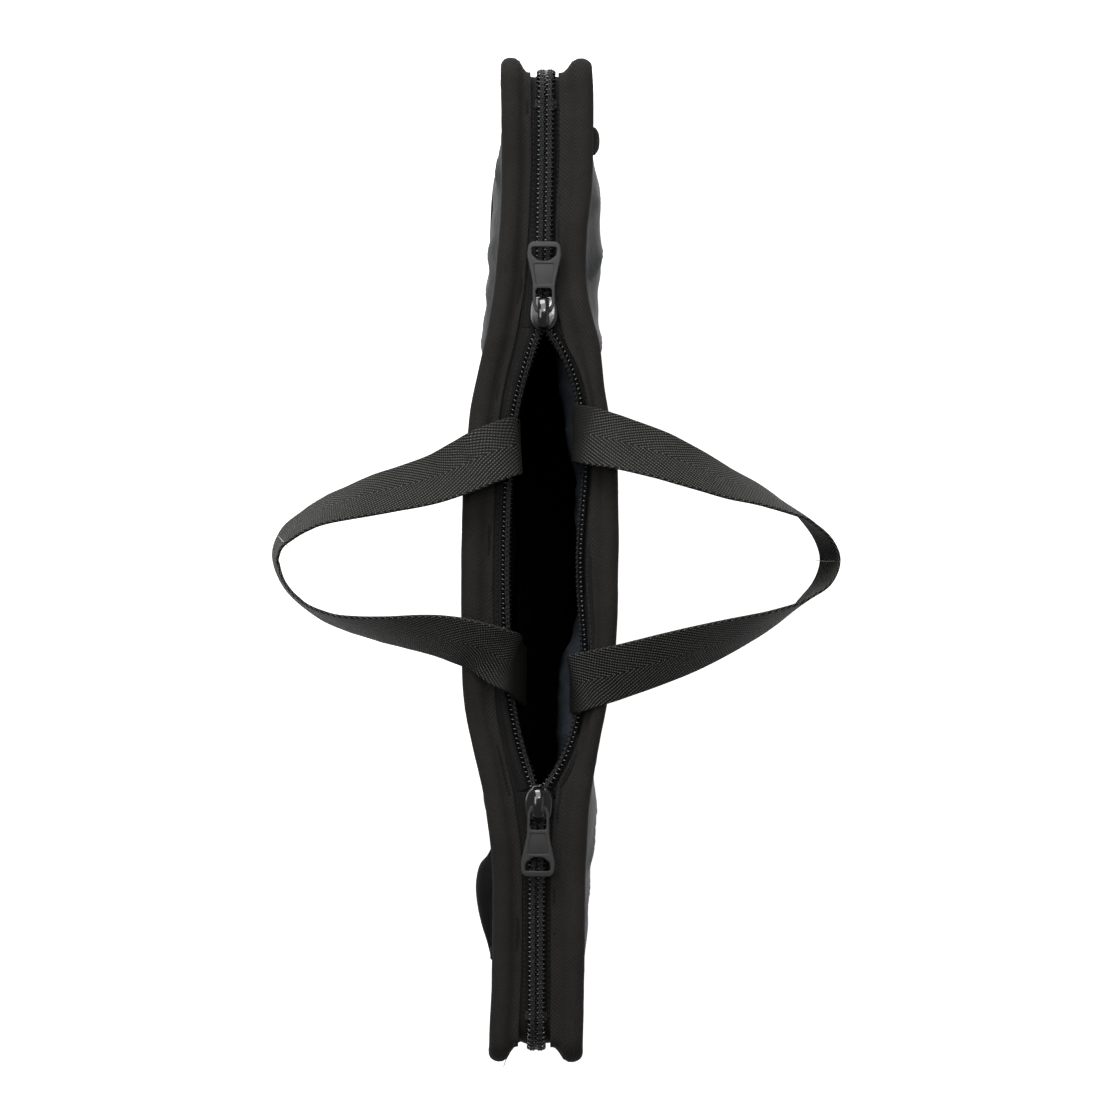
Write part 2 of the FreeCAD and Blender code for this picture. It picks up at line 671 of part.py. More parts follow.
def strap_section(centre, tangent, twist):
    """A cut across the webbing: level at twist 0, on edge at 90."""
    level = Vector(0, 0, 1).cross(tangent).normalize()
    upright = tangent.cross(level).normalize()
    angle = math.radians(twist)
    wide = level * math.cos(angle) + upright * math.sin(angle)
    thick = tangent.cross(wide).normalize()
    a, b = wide * (S["strap_width"] / 2), thick * (S["strap_wall"] / 2)
    corners = [centre + a + b, centre - a + b, centre - a - b, centre + a - b]
    return Part.makePolygon(corners + corners[:1])


def make_handle(side):
    """One length of webbing, out over the rim, drooping and twisting on edge at its middle."""
    half = handle_centre(side)
    whole = half + [(x, -y, z, twist) for x, y, z, twist in reversed(half[:-1])]
    points = [Vector(side * x, y, z) for x, y, z, _ in whole]
    curve = Part.BSplineCurve()
    curve.interpolate(Points=points, InitialTangent=Vector(side, 0, 0), FinalTangent=Vector(-side, 0, 0))
    wires = []
    for point, (_, _, _, twist) in zip(points, whole):
        tangent = curve.tangent(curve.parameter(point))[0]
        wires.append(strap_section(point, tangent, -side * twist))
    feature(f"{SIDE_NAME[side]}_handle", Part.makeLoft(wires, True, True))


def make_handle_ends(side):
    """The webbing inside the mouth: down past the chain, its tail lying on the inner bag."""
    root = S[HANDLES[side]["root"]]
    x = hinge_x(side)
    half_wall = S["strap_wall"] / 2
    low = HEIGHT - S["anchor_depth"]
    sewn = low + S["patch_length"]
    below_tape = TAPE_UNDER - S["tape_wall"]
    pieces = []
    for end in (1, -1):
        outer = root + S["strap_width"] / 2
        lying = [lining_depth(side, outer, z) - S["lining_wall"] - half_wall - S["strap_clear"]
                 for z in (sewn, low)]
        route = [(x, HEIGHT + S["strap_clear"] / 2), (x, below_tape),
                 ((x + lying[0]) / 2, (below_tape + sewn) / 2), (lying[0], sewn), (lying[1], low)]
        y0 = end * root - S["strap_width"] / 2
        y1 = y0 + S["strap_width"]
        wires = []
        for out, z in route:
            near, far = side * (out - half_wall), side * (out + half_wall)
            corners = [Vector(near, y0, z), Vector(far, y0, z), Vector(far, y1, z), Vector(near, y1, z)]
            wires.append(Part.makePolygon(corners + corners[:1]))
        pieces.append(Part.makeLoft(wires, True, True))
    feature(f"{SIDE_NAME[side]}_handle_ends", Part.makeCompound(pieces))


# ---------------------------------------------------------------- arm sleeves

def tube(outer_low, outer_high, wall):
    """A flat tube lofted between two (width, thickness, centre) sections."""
    outer = [flat_tube_wire(w, t, c, "Z") for w, t, c in (outer_low, outer_high)]
    inner = [flat_tube_wire(w - 2 * wall, t - 2 * wall, c, "Z") for w, t, c in (outer_low, outer_high)]
    return Part.makeLoft(outer, True, True).cut(Part.makeLoft(inner, True, True))


def make_sleeve(end):
    """A flat tapered tube that hangs from a collar sewn through the front walls."""
    y = end * S["sleeve_station"]
    name = f"{END_NAME[end]}_sleeve"
    wall = S["sleeve_wall"]
    middle = Vector(-SLEEVE_BACK - SLEEVE_OFFSET, y, 0)
    top = S["port_height"] - S["sleeve_gap"]
    cuff_top = S["hem_height"] + S["cuff_height"]
    low_section = (S["sleeve_end"], SLEEVE_THICK, middle + Vector(0, 0, cuff_top))
    high_section = (S["sleeve_root"], SLEEVE_THICK, middle + Vector(0, 0, top))
    feature(name, tube(low_section, high_section, wall))

    collar_centre = Vector(-SLEEVE_BACK, y, S["port_height"] + SLEEVE_OFFSET)
    lining_inside = lining_depth(FRONT, y, S["port_height"]) - S["lining_wall"]
    length = SLEEVE_BACK - lining_inside + S["port_inside"]
    collar = flat_prism(S["sleeve_root"], SLEEVE_THICK, collar_centre, "X", length)
    bore = flat_prism(S["sleeve_root"] - 2 * wall, S["sleeve_bore"], collar_centre, "X", length)
    feature(name + "_collar", collar.cut(bore))
    make_fold(name, y)
    make_cuff(name, y)


def make_fold(name, y):
    """The sleeve's outer layer, where it folds down over its collar."""
    outer = SLEEVE_OFFSET + SLEEVE_THICK / 2
    half = (S["sleeve_root"] - SLEEVE_THICK) / 2
    low = S["port_height"]
    corners = [Vector(-SLEEVE_BACK - outer, y - half, low),
               Vector(-SLEEVE_BACK - outer + S["sleeve_wall"], y - half, low),
               Vector(-SLEEVE_BACK - outer + S["sleeve_wall"], y + half, low),
               Vector(-SLEEVE_BACK - outer, y + half, low)]
    strip = Part.Face(Part.makePolygon(corners + corners[:1]))
    feature(name + "_fold", strip.revolve(Vector(-SLEEVE_BACK, y, low), Vector(0, 1, 0), 90))


def make_cuff(name, y):
    """Gathered cuff: a folded hem with a loop of flat elastic sealed inside it."""
    centre = Vector(-SLEEVE_BACK - SLEEVE_OFFSET, y, S["hem_height"])
    width, skin = S["cuff_width"], (S["cuff_wall"] - S["elastic_wall"]) / 2
    lift = Vector(0, 0, (S["cuff_height"] - S["elastic_height"]) / 2)

    def ring(outside, wall, at, height):
        """A flat tube, its outer face this far inside the cuff's."""
        outer = flat_prism(width - 2 * outside, CUFF_THICK - 2 * outside, at, "Z", height)
        inset = outside + wall
        return outer.cut(flat_prism(width - 2 * inset, CUFF_THICK - 2 * inset, at, "Z", height))

    elastic = ring(skin, S["elastic_wall"], centre + lift, S["elastic_height"])
    feature(name + "_cuff", ring(0, S["cuff_wall"], centre, S["cuff_height"]).cut(elastic))
    feature(name + "_elastic", elastic)


# ---------------------------------------------------------------- trim

def make_side_tab():
    """A small folded tab that sticks out of the back panel's top seam near one end."""
    half = S["tab_length"] / 2
    low, high = HEIGHT - S["rim_height"] - S["tab_drop"], HEIGHT - S["rim_height"]
    middle = GUSSET_FACE - S["tab_inset"]
    corners = [(y, z) for y in (middle - half, middle + half) for z in (low, high)]
    depth = max(wall_depth(BACK, y, z) for y, z in corners) + S["strap_clear"] / 2
    tab = Part.makeBox(S["tab_wall"], S["tab_length"], S["tab_drop"],
                       Vector(depth, middle - half, low))
    outside = depth + S["tab_wall"]
    tab = rounded(tab, lambda e: e.BoundBox.XMin > outside - 0.01, S["tab_wall"] * 0.4)
    feature("side_tab", tab)


# ---------------------------------------------------------------- build and write

make_walls()
make_gussets()
make_lining_gussets()
make_top_rims()
make_base_rims()
make_end_rims()
make_zip()
make_zip_stops()
for chain_end in (1, -1):
    make_slider(chain_end)
    make_crown(chain_end)
    make_pull(chain_end)
    make_sleeve(chain_end)
for bag_side in (FRONT, BACK):
    make_handle(bag_side)
    make_handle_ends(bag_side)
make_side_tab()
doc.recompute()

for thing in doc.Objects:
    if "Invalid" in thing.State or "Error" in thing.State:
        raise RuntimeError(f"{thing.Label} failed: {thing.State}")
for thing in nodes:
    if thing.Shape.isNull() or not thing.Shape.isValid() or thing.Shape.Volume <= 0:
        raise RuntimeError(f"{thing.Label} has no sound shape")

os.makedirs("parts", exist_ok=True)
for thing in nodes:
    thing.Shape.exportStep(os.path.join("parts", thing.Label + ".step"))
    print(f"{thing.Label}: {len(thing.Shape.Solids)} solid(s), {thing.Shape.Volume:.0f} mm3")
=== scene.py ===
"""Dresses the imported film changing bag: fabric, bindings, zip, sliders, handles and arm sleeves.

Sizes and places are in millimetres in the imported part's frame, and become metres where a mesh is made.
Side FRONT is -X and carries the sleeves; end +1 is the far end, +Y.
"""
import math

import bmesh
import bpy
import numpy as np
from mathutils import Matrix, Vector, noise


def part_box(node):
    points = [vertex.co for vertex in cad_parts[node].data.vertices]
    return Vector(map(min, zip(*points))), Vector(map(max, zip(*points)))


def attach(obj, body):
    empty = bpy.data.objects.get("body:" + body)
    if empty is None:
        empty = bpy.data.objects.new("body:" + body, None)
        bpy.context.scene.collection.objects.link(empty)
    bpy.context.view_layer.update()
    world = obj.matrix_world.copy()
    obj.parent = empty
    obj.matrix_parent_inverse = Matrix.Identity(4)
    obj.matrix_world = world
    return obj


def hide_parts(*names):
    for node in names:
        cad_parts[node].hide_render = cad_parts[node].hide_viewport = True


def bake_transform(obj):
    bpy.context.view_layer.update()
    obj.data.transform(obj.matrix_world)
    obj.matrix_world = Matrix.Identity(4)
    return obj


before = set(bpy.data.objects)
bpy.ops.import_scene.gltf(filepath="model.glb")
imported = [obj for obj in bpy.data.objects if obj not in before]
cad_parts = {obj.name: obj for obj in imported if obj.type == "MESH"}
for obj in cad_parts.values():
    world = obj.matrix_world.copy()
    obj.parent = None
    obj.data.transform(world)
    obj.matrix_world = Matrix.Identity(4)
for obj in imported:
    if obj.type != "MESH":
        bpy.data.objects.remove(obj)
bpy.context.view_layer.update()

MM = 0.001
FRONT, BACK = -1, 1
SIDE_NAME = {FRONT: "front", BACK: "back"}
END_NAME = {1: "far", -1: "near"}


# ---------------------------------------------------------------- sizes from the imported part

def low_mm(node):
    return [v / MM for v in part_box(node)[0]]


def high_mm(node):
    return [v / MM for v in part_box(node)[1]]


HEIGHT = high_mm("front_end_rims")[2]
RIM_END = high_mm("front_end_rims")[1]
HALF_DEPTH = high_mm("back_end_rims")[0]
RIM_INNER = low_mm("back_end_rims")[0]
RIM_DEEP = HEIGHT - low_mm("front_top_rim")[2]
GUSSET_FACE = high_mm("base_gusset")[1]
TAPE_TOP = HEIGHT - 4                                   # the zip lies a little below the rims
ZIP_BEND = 12                                           # radius of its bend down each end of the bag
BEND_START = GUSSET_FACE - ZIP_BEND
LINING_END = high_mm("lining_ends")[1] - 0.8
LINING_BASE = low_mm("front_lining")[2]
LINING_TOP = TAPE_TOP - 1.4
LINING_PLAIN = HEIGHT - 70                              # below it the inner bag just follows the shell
PANEL_END, PANEL_FOOT, PANEL_TOP = RIM_END - 4, 4, HEIGHT - 5
GUSSET_FOOT, GUSSET_TOP = 1.5, HEIGHT - 17
INNER_END_TOP = HEIGHT - 34
SLEEVE_HINGE = (-high_mm("far_sleeve_cuff")[0], low_mm("far_sleeve_fold")[2])      # out, up
SLEEVE_MIDDLE = (high_mm("far_sleeve")[1] + low_mm("far_sleeve")[1]) / 2
HEM = low_mm("far_sleeve_cuff")[2]
SLIDER_MIDDLE = low_mm("far_slider")[1] + 8
PLATE_TOP = high_mm("far_slider")[2]
PULL_LEVEL = (low_mm("far_pull")[2] + high_mm("far_pull")[2]) / 2

# the open mouth: middle gap, fullness towards the ends, and sag between the handle's ends
MOUTH = {FRONT: (13.5, 3.0, 0.0), BACK: (16.8, 5.0, 2.3)}
MOUTH_REACH = 98
SAG_REACH = 45

# outer edge of each binding seen from above: (along, out), from the near end to the far end
RIM_EDGE = {
    FRONT: ((-214, 20.3), (-170, 19.2), (-128, 19.8), (-100, 23.6), (-84, 27.4), (-62, 32.2), (-20, 33.9),
            (30, 33.7), (62, 31.0), (78, 28.2), (96, 24.2), (122, 20.6), (160, 18.6), (214, 19.6)),
    BACK: ((-214, 20.3), (-170, 20.5), (-128, 20.6), (-104, 21.8), (-85, 24.6), (-62, 28.8), (-40, 32.2),
           (0, 33.2), (42, 32.0), (62, 28.6), (76, 26.2), (92, 24.2), (106, 20.6), (120, 18.2),
           (140, 18.4), (160, 20.1), (185, 20.4), (214, 19.6)),
}


def smooth(t):
    t = min(max(t, 0.0), 1.0)
    return t * t * (3 - 2 * t)


def bump(t):
    """1 at 0, fading smoothly to 0 at 1 and -1."""
    return max(0.0, 1 - t * t) ** 2


def power(value, exponent):
    """A power that keeps the value's sign: it squares off or pinches a circle's cosine or sine."""
    return math.copysign(abs(value) ** exponent, value)


def circle(count):
    """(cosine, sine) of evenly spaced angles."""
    angles = [2 * math.pi * k / count for k in range(count)]
    return [(math.cos(angle), math.sin(angle)) for angle in angles]


def through(points, at):
    """A smooth curve through (place, value) points, flat beyond its ends."""
    places = [p[0] for p in points]
    if at <= places[0]:
        return points[0][1]
    if at >= places[-1]:
        return points[-1][1]
    i = int(np.searchsorted(places, at)) - 1
    i = max(0, min(i, len(points) - 2))

    def slope(k):
        a, b = max(k - 1, 0), min(k + 1, len(points) - 1)
        return (points[b][1] - points[a][1]) / (points[b][0] - points[a][0])

    (x0, y0), (x1, y1) = points[i], points[i + 1]
    width = x1 - x0
    t = (at - x0) / width
    return ((2 * t ** 3 - 3 * t ** 2 + 1) * y0 + (t ** 3 - 2 * t ** 2 + t) * width * slope(i)
            + (3 * t ** 2 - 2 * t ** 3) * y1 + (t ** 3 - t ** 2) * width * slope(i + 1))


def mouth_line(side, y):
    gap, fullness, sag = MOUTH[side]
    t = min(abs(y) / MOUTH_REACH, 1.0)
    return gap * (1 - t ** fullness) - sag * bump(y / SAG_REACH)


def openness(y):
    return smooth(1.15 * (1 - abs(y) / MOUTH_REACH))


def rim_edge(side, y):
    return through(RIM_EDGE[side], y)


def rim_width(side, y):
    """The bound edge, which narrows where the zip is rolled close to it."""
    room = rim_edge(side, y) - mouth_line(side, y) - 5.0
    full = 13.6 + 0.9 * side + 0.8 * openness(y) + 0.7 * ripple(y / 45, 0.4, side)
    return max(7.5, min(full, room))


def ripple(*place):
    return noise.noise(Vector(place))


def crease(*place):
    """Thin soft ridges: 1 on a ridge, near 0 elsewhere."""
    return (1 - abs(noise.noise(Vector(place)))) ** 9


# ---------------------------------------------------------------- meshes

def add_object(name, data):
    thing = bpy.data.objects.new(name, data)
    bpy.context.scene.collection.objects.link(thing)
    return thing


def edit_mesh(piece, change):
    """Runs change on the piece's mesh in its editable form."""
    work = bmesh.new()
    work.from_mesh(piece.data)
    change(work)
    work.to_mesh(piece.data)
    work.free()


def merge(piece):
    """Joins points that fall together, and turns all faces outwards."""
    def close(work):
        bmesh.ops.remove_doubles(work, verts=work.verts, dist=0.01 * MM)
        bmesh.ops.recalc_face_normals(work, faces=work.faces)

    edit_mesh(piece, close)


def curve_mesh(name, curve):
    blank = add_object(name, curve)
    graph = bpy.context.evaluated_depsgraph_get()
    mesh = bpy.data.meshes.new_from_object(blank.evaluated_get(graph))
    bpy.data.objects.remove(blank)
    return mesh


def make_piece(name, points, faces, weave=None):
    mesh = bpy.data.meshes.new(name)
    mesh.from_pydata([(x * MM, y * MM, z * MM) for x, y, z in points], [], faces)
    if weave is not None:
        layer = mesh.attributes.new("weave", "FLOAT_VECTOR", "CORNER")
        layer.data.foreach_set("vector", [v for corner in weave for v in corner])
    mesh.polygons.foreach_set("use_smooth", [True] * len(mesh.polygons))
    mesh.update()
    piece = add_object(name, mesh)
    edit_mesh(piece, lambda work: bmesh.ops.recalc_face_normals(work, faces=work.faces))
    return piece


def lengths(points):
    steps = [0.0]
    for a, b in zip(points, points[1:]):
        steps.append(steps[-1] + math.dist(a, b))
    return steps


def grid_piece(name, rows, wrap=False, caps=False, keep=None, painted_shade=None):
    """A skin over rows of points. weave holds each corner's distance along and across, in mm,
    and the painted shade there."""
    count = len(rows[0])
    along = lengths([row[count // 2] for row in rows])
    middle = list(rows[len(rows) // 2])
    across = lengths(middle + middle[:1]) if wrap else lengths(middle)
    painted_shade = painted_shade or [0.0] * len(rows)
    faces, weave = [], []
    for i in range(len(rows) - 1):
        for j in range(count if wrap else count - 1):
            if keep and not keep(rows[i][j], rows[i + 1][(j + 1) % count]):
                continue
            k = (j + 1) % count
            faces.append((i * count + j, (i + 1) * count + j, (i + 1) * count + k, i * count + k))
            weave += [(along[i], across[j], painted_shade[i]), (along[i + 1], across[j], painted_shade[i + 1]),
                      (along[i + 1], across[j + 1], painted_shade[i + 1]), (along[i], across[j + 1], painted_shade[i])]
    if caps:
        for i in (0, len(rows) - 1):
            faces.append(tuple(range(i * count, (i + 1) * count)))
            weave += [(along[i], across[j], painted_shade[i]) for j in range(count)]
    return make_piece(name, [p for row in rows for p in row], faces, weave)


def give_wall(piece, thickness):
    """Turns an open skin into a thin closed wall, and drops the points that no face uses."""
    wall = piece.modifiers.new("wall", "SOLIDIFY")
    wall.thickness = thickness * MM
    wall.offset = 0.0
    graph = bpy.context.evaluated_depsgraph_get()
    done = bpy.data.meshes.new_from_object(piece.evaluated_get(graph), preserve_all_data_layers=True,
                                           depsgraph=graph)
    piece.modifiers.clear()
    piece.data = done
    edit_mesh(piece, lambda work: bmesh.ops.delete(
        work, geom=[v for v in work.verts if not v.link_faces], context="VERTS"))


def finish_piece(piece, body, surface, replaced=()):
    piece.data.materials.clear()
    piece.data.materials.append(surface)
    if body:
        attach(piece, body)
    if replaced:
        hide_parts(*replaced)
    return piece


def make_cloth(name, rows, wall, surface, replaced=(), keep=None):
    """A walled skin that stays with the bag."""
    piece = grid_piece(name, rows, keep=keep)
    give_wall(piece, wall)
    return finish_piece(piece, "bag", surface, replaced)


def make_solid(name, rings, body, surface, replaced=(), painted_shade=None):
    """A closed form through rings of points."""
    return finish_piece(grid_piece(name, rings, wrap=True, caps=True, painted_shade=painted_shade), body, surface, replaced)


def tube_rows(points, radius, sides=6):
    """Rings round a path, kept upright by carrying the first ring's direction along."""
    rows = []
    side = None
    for i, point in enumerate(points):
        ahead = Vector(points[min(i + 1, len(points) - 1)]) - Vector(points[max(i - 1, 0)])
        ahead.normalize()
        if side is None:
            side = ahead.orthogonal().normalized()
        side = (side - ahead * side.dot(ahead)).normalized()
        up = ahead.cross(side)
        rows.append([tuple(Vector(point) + side * (radius * c) + up * (radius * s)) for c, s in circle(sides)])
    return rows


def stitches(name, path, normal, surface, length=2.6, gap=1.5, radius=0.28):
    """A run of thread on the bag: one short sunken capsule for each stitch."""
    steps = lengths(path)
    points, faces = [], []
    rings = ((0.0, 0.35), (0.18, 0.9), (0.5, 1.0), (0.82, 0.9), (1.0, 0.35))
    sides = 6
    normal = Vector(normal)
    start = gap
    while start + length < steps[-1]:
        i = int(np.searchsorted(steps, start + length / 2)) - 1
        centre, ahead = Vector(path[i]), (Vector(path[i + 1]) - Vector(path[i])).normalized()
        across = ahead.cross(normal).normalized()
        centre = centre + ahead * (start + length / 2 - steps[i])
        base = len(points)
        for t, wide in rings:
            lift = 0.35 * math.sin(math.pi * t)
            spot = centre + ahead * ((t - 0.5) * length) + normal * (lift - 0.12)
            points += [tuple(spot + across * (radius * wide * c) + normal * (radius * wide * s))
                       for c, s in circle(sides)]
        faces += [(base + r * sides + k, base + r * sides + (k + 1) % sides,
                   base + (r + 1) * sides + (k + 1) % sides, base + (r + 1) * sides + k)
                  for r in range(len(rings) - 1) for k in range(sides)]
        faces += [tuple(base + k for k in range(sides)),
                  tuple(base + (len(rings) - 1) * sides + k for k in reversed(range(sides)))]
        start += length + gap
    return finish_piece(make_piece(name, points, faces), "bag", surface)


# ---------------------------------------------------------------- materials

def linear(*rgb):
    """Linear colour of an 0-255 display colour."""
    out = [(c / 255) / 12.92 if c <= 10 else ((c / 255 + 0.055) / 1.055) ** 2.4 for c in rgb]
    return (*out, 1.0)


class Nodes:
    """Short hand for building a material's node tree."""

    def __init__(self, name):
        self.material = bpy.data.materials.new(name)
        self.material.use_nodes = True
        self.tree = self.material.node_tree
        self.shader = self.tree.nodes["Principled BSDF"]

    def add(self, kind, **values):
        node = self.tree.nodes.new(kind)
        for key, value in values.items():
            setattr(node, key, value)
        return node

    def link(self, out, into):
        self.tree.links.new(out, into)

    def maths(self, operation, *values, clamp=False):
        node = self.add("ShaderNodeMath", operation=operation, use_clamp=clamp)
        for socket, value in zip(node.inputs, values):
            if isinstance(value, (int, float)):
                socket.default_value = value
            else:
                self.link(value, socket)
        return node.outputs[0]

    def times(self, a, b, clamp=False):
        return self.maths("MULTIPLY", a, b, clamp=clamp)

    def plus(self, a, b, clamp=False):
        return self.maths("ADD", a, b, clamp=clamp)

    def minus(self, a, b):
        return self.maths("SUBTRACT", a, b)

    def weave(self, count=2):
        """Distances along and across the cloth, in mm, and how much painted shade it has."""
        source = self.add("ShaderNodeAttribute", attribute_name="weave")
        parts = self.add("ShaderNodeSeparateXYZ")
        self.link(source.outputs["Vector"], parts.inputs[0])
        return tuple(parts.outputs[:count])

    def clouds(self, per_metre, detail=3.0, rough=0.55):
        place = self.add("ShaderNodeTexCoord").outputs["Object"]
        cloud = self.add("ShaderNodeTexNoise")
        cloud.inputs["Scale"].default_value = per_metre
        cloud.inputs["Detail"].default_value = detail
        cloud.inputs["Roughness"].default_value = rough
        self.link(place, cloud.inputs["Vector"])
        return cloud.outputs["Fac"]

    def wave(self, phase):
        """0..1 sine of a phase counted in turns."""
        turned = self.maths("SINE", self.times(phase, 2 * math.pi))
        return self.plus(self.times(turned, 0.5), 0.5)

    def threads(self, distance, pitch):
        return self.wave(self.times(distance, 1 / pitch))

    def mix(self, amount, dark, light):
        ramp = self.add("ShaderNodeMix", data_type="RGBA")
        self.link(amount, ramp.inputs["Factor"])
        ramp.inputs["A"].default_value = dark
        ramp.inputs["B"].default_value = light
        return ramp.outputs["Result"]

    def relief(self, height, depth_mm, strength=1.0, before=None):
        node = self.add("ShaderNodeBump")
        node.inputs["Strength"].default_value = strength
        node.inputs["Distance"].default_value = depth_mm * MM
        self.link(height, node.inputs["Height"])
        if before is not None:
            self.link(before, node.inputs["Normal"])
        return node.outputs["Normal"]

    def set(self, **values):
        for key, value in values.items():
            self.shader.inputs[key.replace("_", " ")].default_value = value

    def finish(self, colour, relief, **values):
        self.link(colour, self.shader.inputs["Base Color"])
        self.link(relief, self.shader.inputs["Normal"])
        self.set(**values)
        return self.material


def twill_material():
    """Herringbone: ribs that run along the tape and change hand at each column."""
    n = Nodes("binding_twill")
    along, across = n.weave()
    rib, column, slant = 1.35, 9.5, 1.3
    step = n.times(n.maths("PINGPONG", across, column), 1 / rib)
    ribs = n.wave(n.plus(n.times(along, 1 / (rib * slant)), step))
    yarn = n.threads(along, 0.55)
    wear = n.clouds(38, detail=6, rough=0.65)
    fuzz = n.clouds(900, detail=2)
    tone = n.plus(n.times(ribs, 0.2), n.times(wear, 0.6))
    tone = n.plus(tone, n.times(fuzz, 0.25), clamp=True)
    return n.finish(n.mix(tone, linear(17, 16, 15), linear(54, 52, 50)),
                    n.relief(yarn, 0.04, before=n.relief(ribs, 0.13)),
                    Roughness=0.85, Specular_IOR_Level=0.15)


def tape_material():
    n = Nodes("zip_tape_weave")
    along, across = n.weave()
    warp = n.threads(across, 0.95)
    weft = n.threads(along, 0.5)
    wear = n.clouds(80)
    tone = n.plus(n.times(warp, 0.25), n.times(wear, 0.5), clamp=True)
    return n.finish(n.mix(tone, linear(17, 17, 17), linear(40, 39, 38)),
                    n.relief(weft, 0.05, before=n.relief(warp, 0.12)),
                    Roughness=0.8, Specular_IOR_Level=0.15)


def webbing_material():
    """One broad chevron: ribs that run nearly with the strap, crossed by finer picks. Near the roots, painted shade
    turns it into a dark, even cloth.
    """
    n = Nodes("handle_webbing")
    along, across, painted_shade = n.weave(3)
    chevron = n.maths("PINGPONG", across, STRAP_HALF)
    lean, rib, pick = math.radians(24), 1.25, 1.15
    ribs = n.wave(n.plus(n.times(chevron, math.cos(lean) / rib),
                          n.times(along, math.sin(lean) / rib)))
    picks = n.wave(n.minus(n.times(along, math.cos(lean) / pick),
                           n.times(chevron, math.sin(lean) / pick)))
    cloth = n.times(n.maths("POWER", ribs, 2.0), n.plus(n.times(picks, 0.88), 0.12))
    # painted shade: near the roots the ribs give way to this near-black even cloth
    even = n.times(n.threads(across, 0.9), 0.05)
    cloth = n.plus(n.times(cloth, n.minus(1.0, painted_shade)), n.times(even, painted_shade))
    wear = n.clouds(45)
    tone = n.plus(n.times(cloth, 1.1), n.times(wear, 0.07), clamp=True)
    return n.finish(n.mix(tone, linear(5, 5, 5), linear(118, 118, 113)), n.relief(cloth, 0.55),
                    Roughness=0.62, Specular_IOR_Level=0.1)


def nylon_material(name, dark, light, roughness, shine, per_metre=60, fade=None):
    """Coated nylon: tight one-over-one weave, small creases, a soft shine.

    fade is (level, span) in mm: painted shade that darkens the cloth from level + span down to level, for the light
    that does not reach down into the bag; near the top the colour is lifted by a quarter, painted light.
    """
    n = Nodes(name)
    along, across = n.weave()
    threads = n.times(n.threads(along, 0.5), n.threads(across, 0.5))
    crumple = n.clouds(per_metre, detail=5, rough=0.6)
    tone = n.plus(n.times(threads, 0.15), n.times(crumple, 0.75), clamp=True)
    # painted shade: darker with depth below the mouth, and painted light that lifts the colour near the top
    if fade:
        place = n.add("ShaderNodeSeparateXYZ")
        n.link(n.add("ShaderNodeTexCoord").outputs["Object"], place.inputs[0])
        level, span = fade
        above = n.times(n.minus(place.outputs[2], level * MM), 1 / (span * MM), clamp=True)
        tone = n.times(n.times(tone, 1.25), n.maths("POWER", above, 1.5), clamp=True)
    soft = n.relief(crumple, 1.4, strength=0.7)
    return n.finish(n.mix(tone, dark, light), n.relief(threads, 0.04, before=soft),
                    Roughness=roughness, Specular_IOR_Level=shine)


def enamel_material(name, colour, roughness, coat):
    n = Nodes(name)
    grain = n.clouds(900, detail=2)
    wear = n.clouds(160, detail=4)
    worn = tuple(min(1.0, 1.7 * c) for c in colour[:3]) + (1.0,)
    return n.finish(n.mix(n.times(wear, 0.5), colour, worn), n.relief(grain, 0.02, strength=0.6),
                    Roughness=roughness, Coat_Weight=coat, Coat_Roughness=0.12, Specular_IOR_Level=0.6)


def filament_material():
    n = Nodes("zip_filament")
    wear = n.clouds(420, detail=2)
    return n.finish(n.mix(wear, linear(8, 8, 9), linear(26, 26, 28)), n.relief(wear, 0.02, strength=0.5),
                    Roughness=0.16, Specular_IOR_Level=0.9)


def thread_material(name, dark, light):
    n = Nodes(name)
    fuzz = n.clouds(1500, detail=2)
    return n.finish(n.mix(fuzz, dark, light), n.relief(fuzz, 0.05), Roughness=0.75)


STRAP_HALF, STRAP_WALL = 12.4, 1.5                          # half width and thickness of the webbing
SHELL_WALL, GUSSET_WALL, LINING_WALL, SLEEVE_WALL, TAPE_WALL, TAB_WALL = 0.7, 0.8, 0.5, 0.5, 0.7, 0.9

TWILL = twill_material()
TAPE = tape_material()
WEBBING = webbing_material()
SHELL = nylon_material("shell_nylon", linear(14, 16, 18), linear(46, 50, 54), 0.42, 0.04)
# the back lining, where light reaches into the mouth; its colour carries painted shade below the mouth
LIT_LINING = nylon_material("lining_nylon", linear(6, 7, 8), linear(101, 111, 120), 0.24, 0.6, per_metre=70,
                        fade=(HEIGHT - 38, 31))
# a dark copy of the same lining cloth: painted shade for the front lining and the inner bag's ends and base
SHADED_LINING = nylon_material("shaded_lining", linear(5, 6, 7), linear(15, 17, 19), 0.5, 0.1, per_metre=45)
FLAP = nylon_material("sleeve_cloth", linear(28, 28, 28), linear(46, 46, 46), 0.6, 0.04)
FILAMENT = filament_material()
SLIDER = enamel_material("slider_enamel", linear(22, 22, 25), 0.14, 1.0)
BRIDGE = enamel_material("bridge_enamel", linear(16, 16, 17), 0.1, 1.0)
PULL = enamel_material("pull_enamel", linear(34, 34, 34), 0.5, 0.0)
BLACK_THREAD = thread_material("black_thread", linear(18, 18, 18), linear(50, 49, 48))
COIL_THREAD = thread_material("coil_thread", linear(7, 7, 7), linear(24, 24, 24))
PALE_THREAD = thread_material("pale_thread", linear(190, 190, 186), linear(240, 240, 236))


# ---------------------------------------------------------------- outer bag

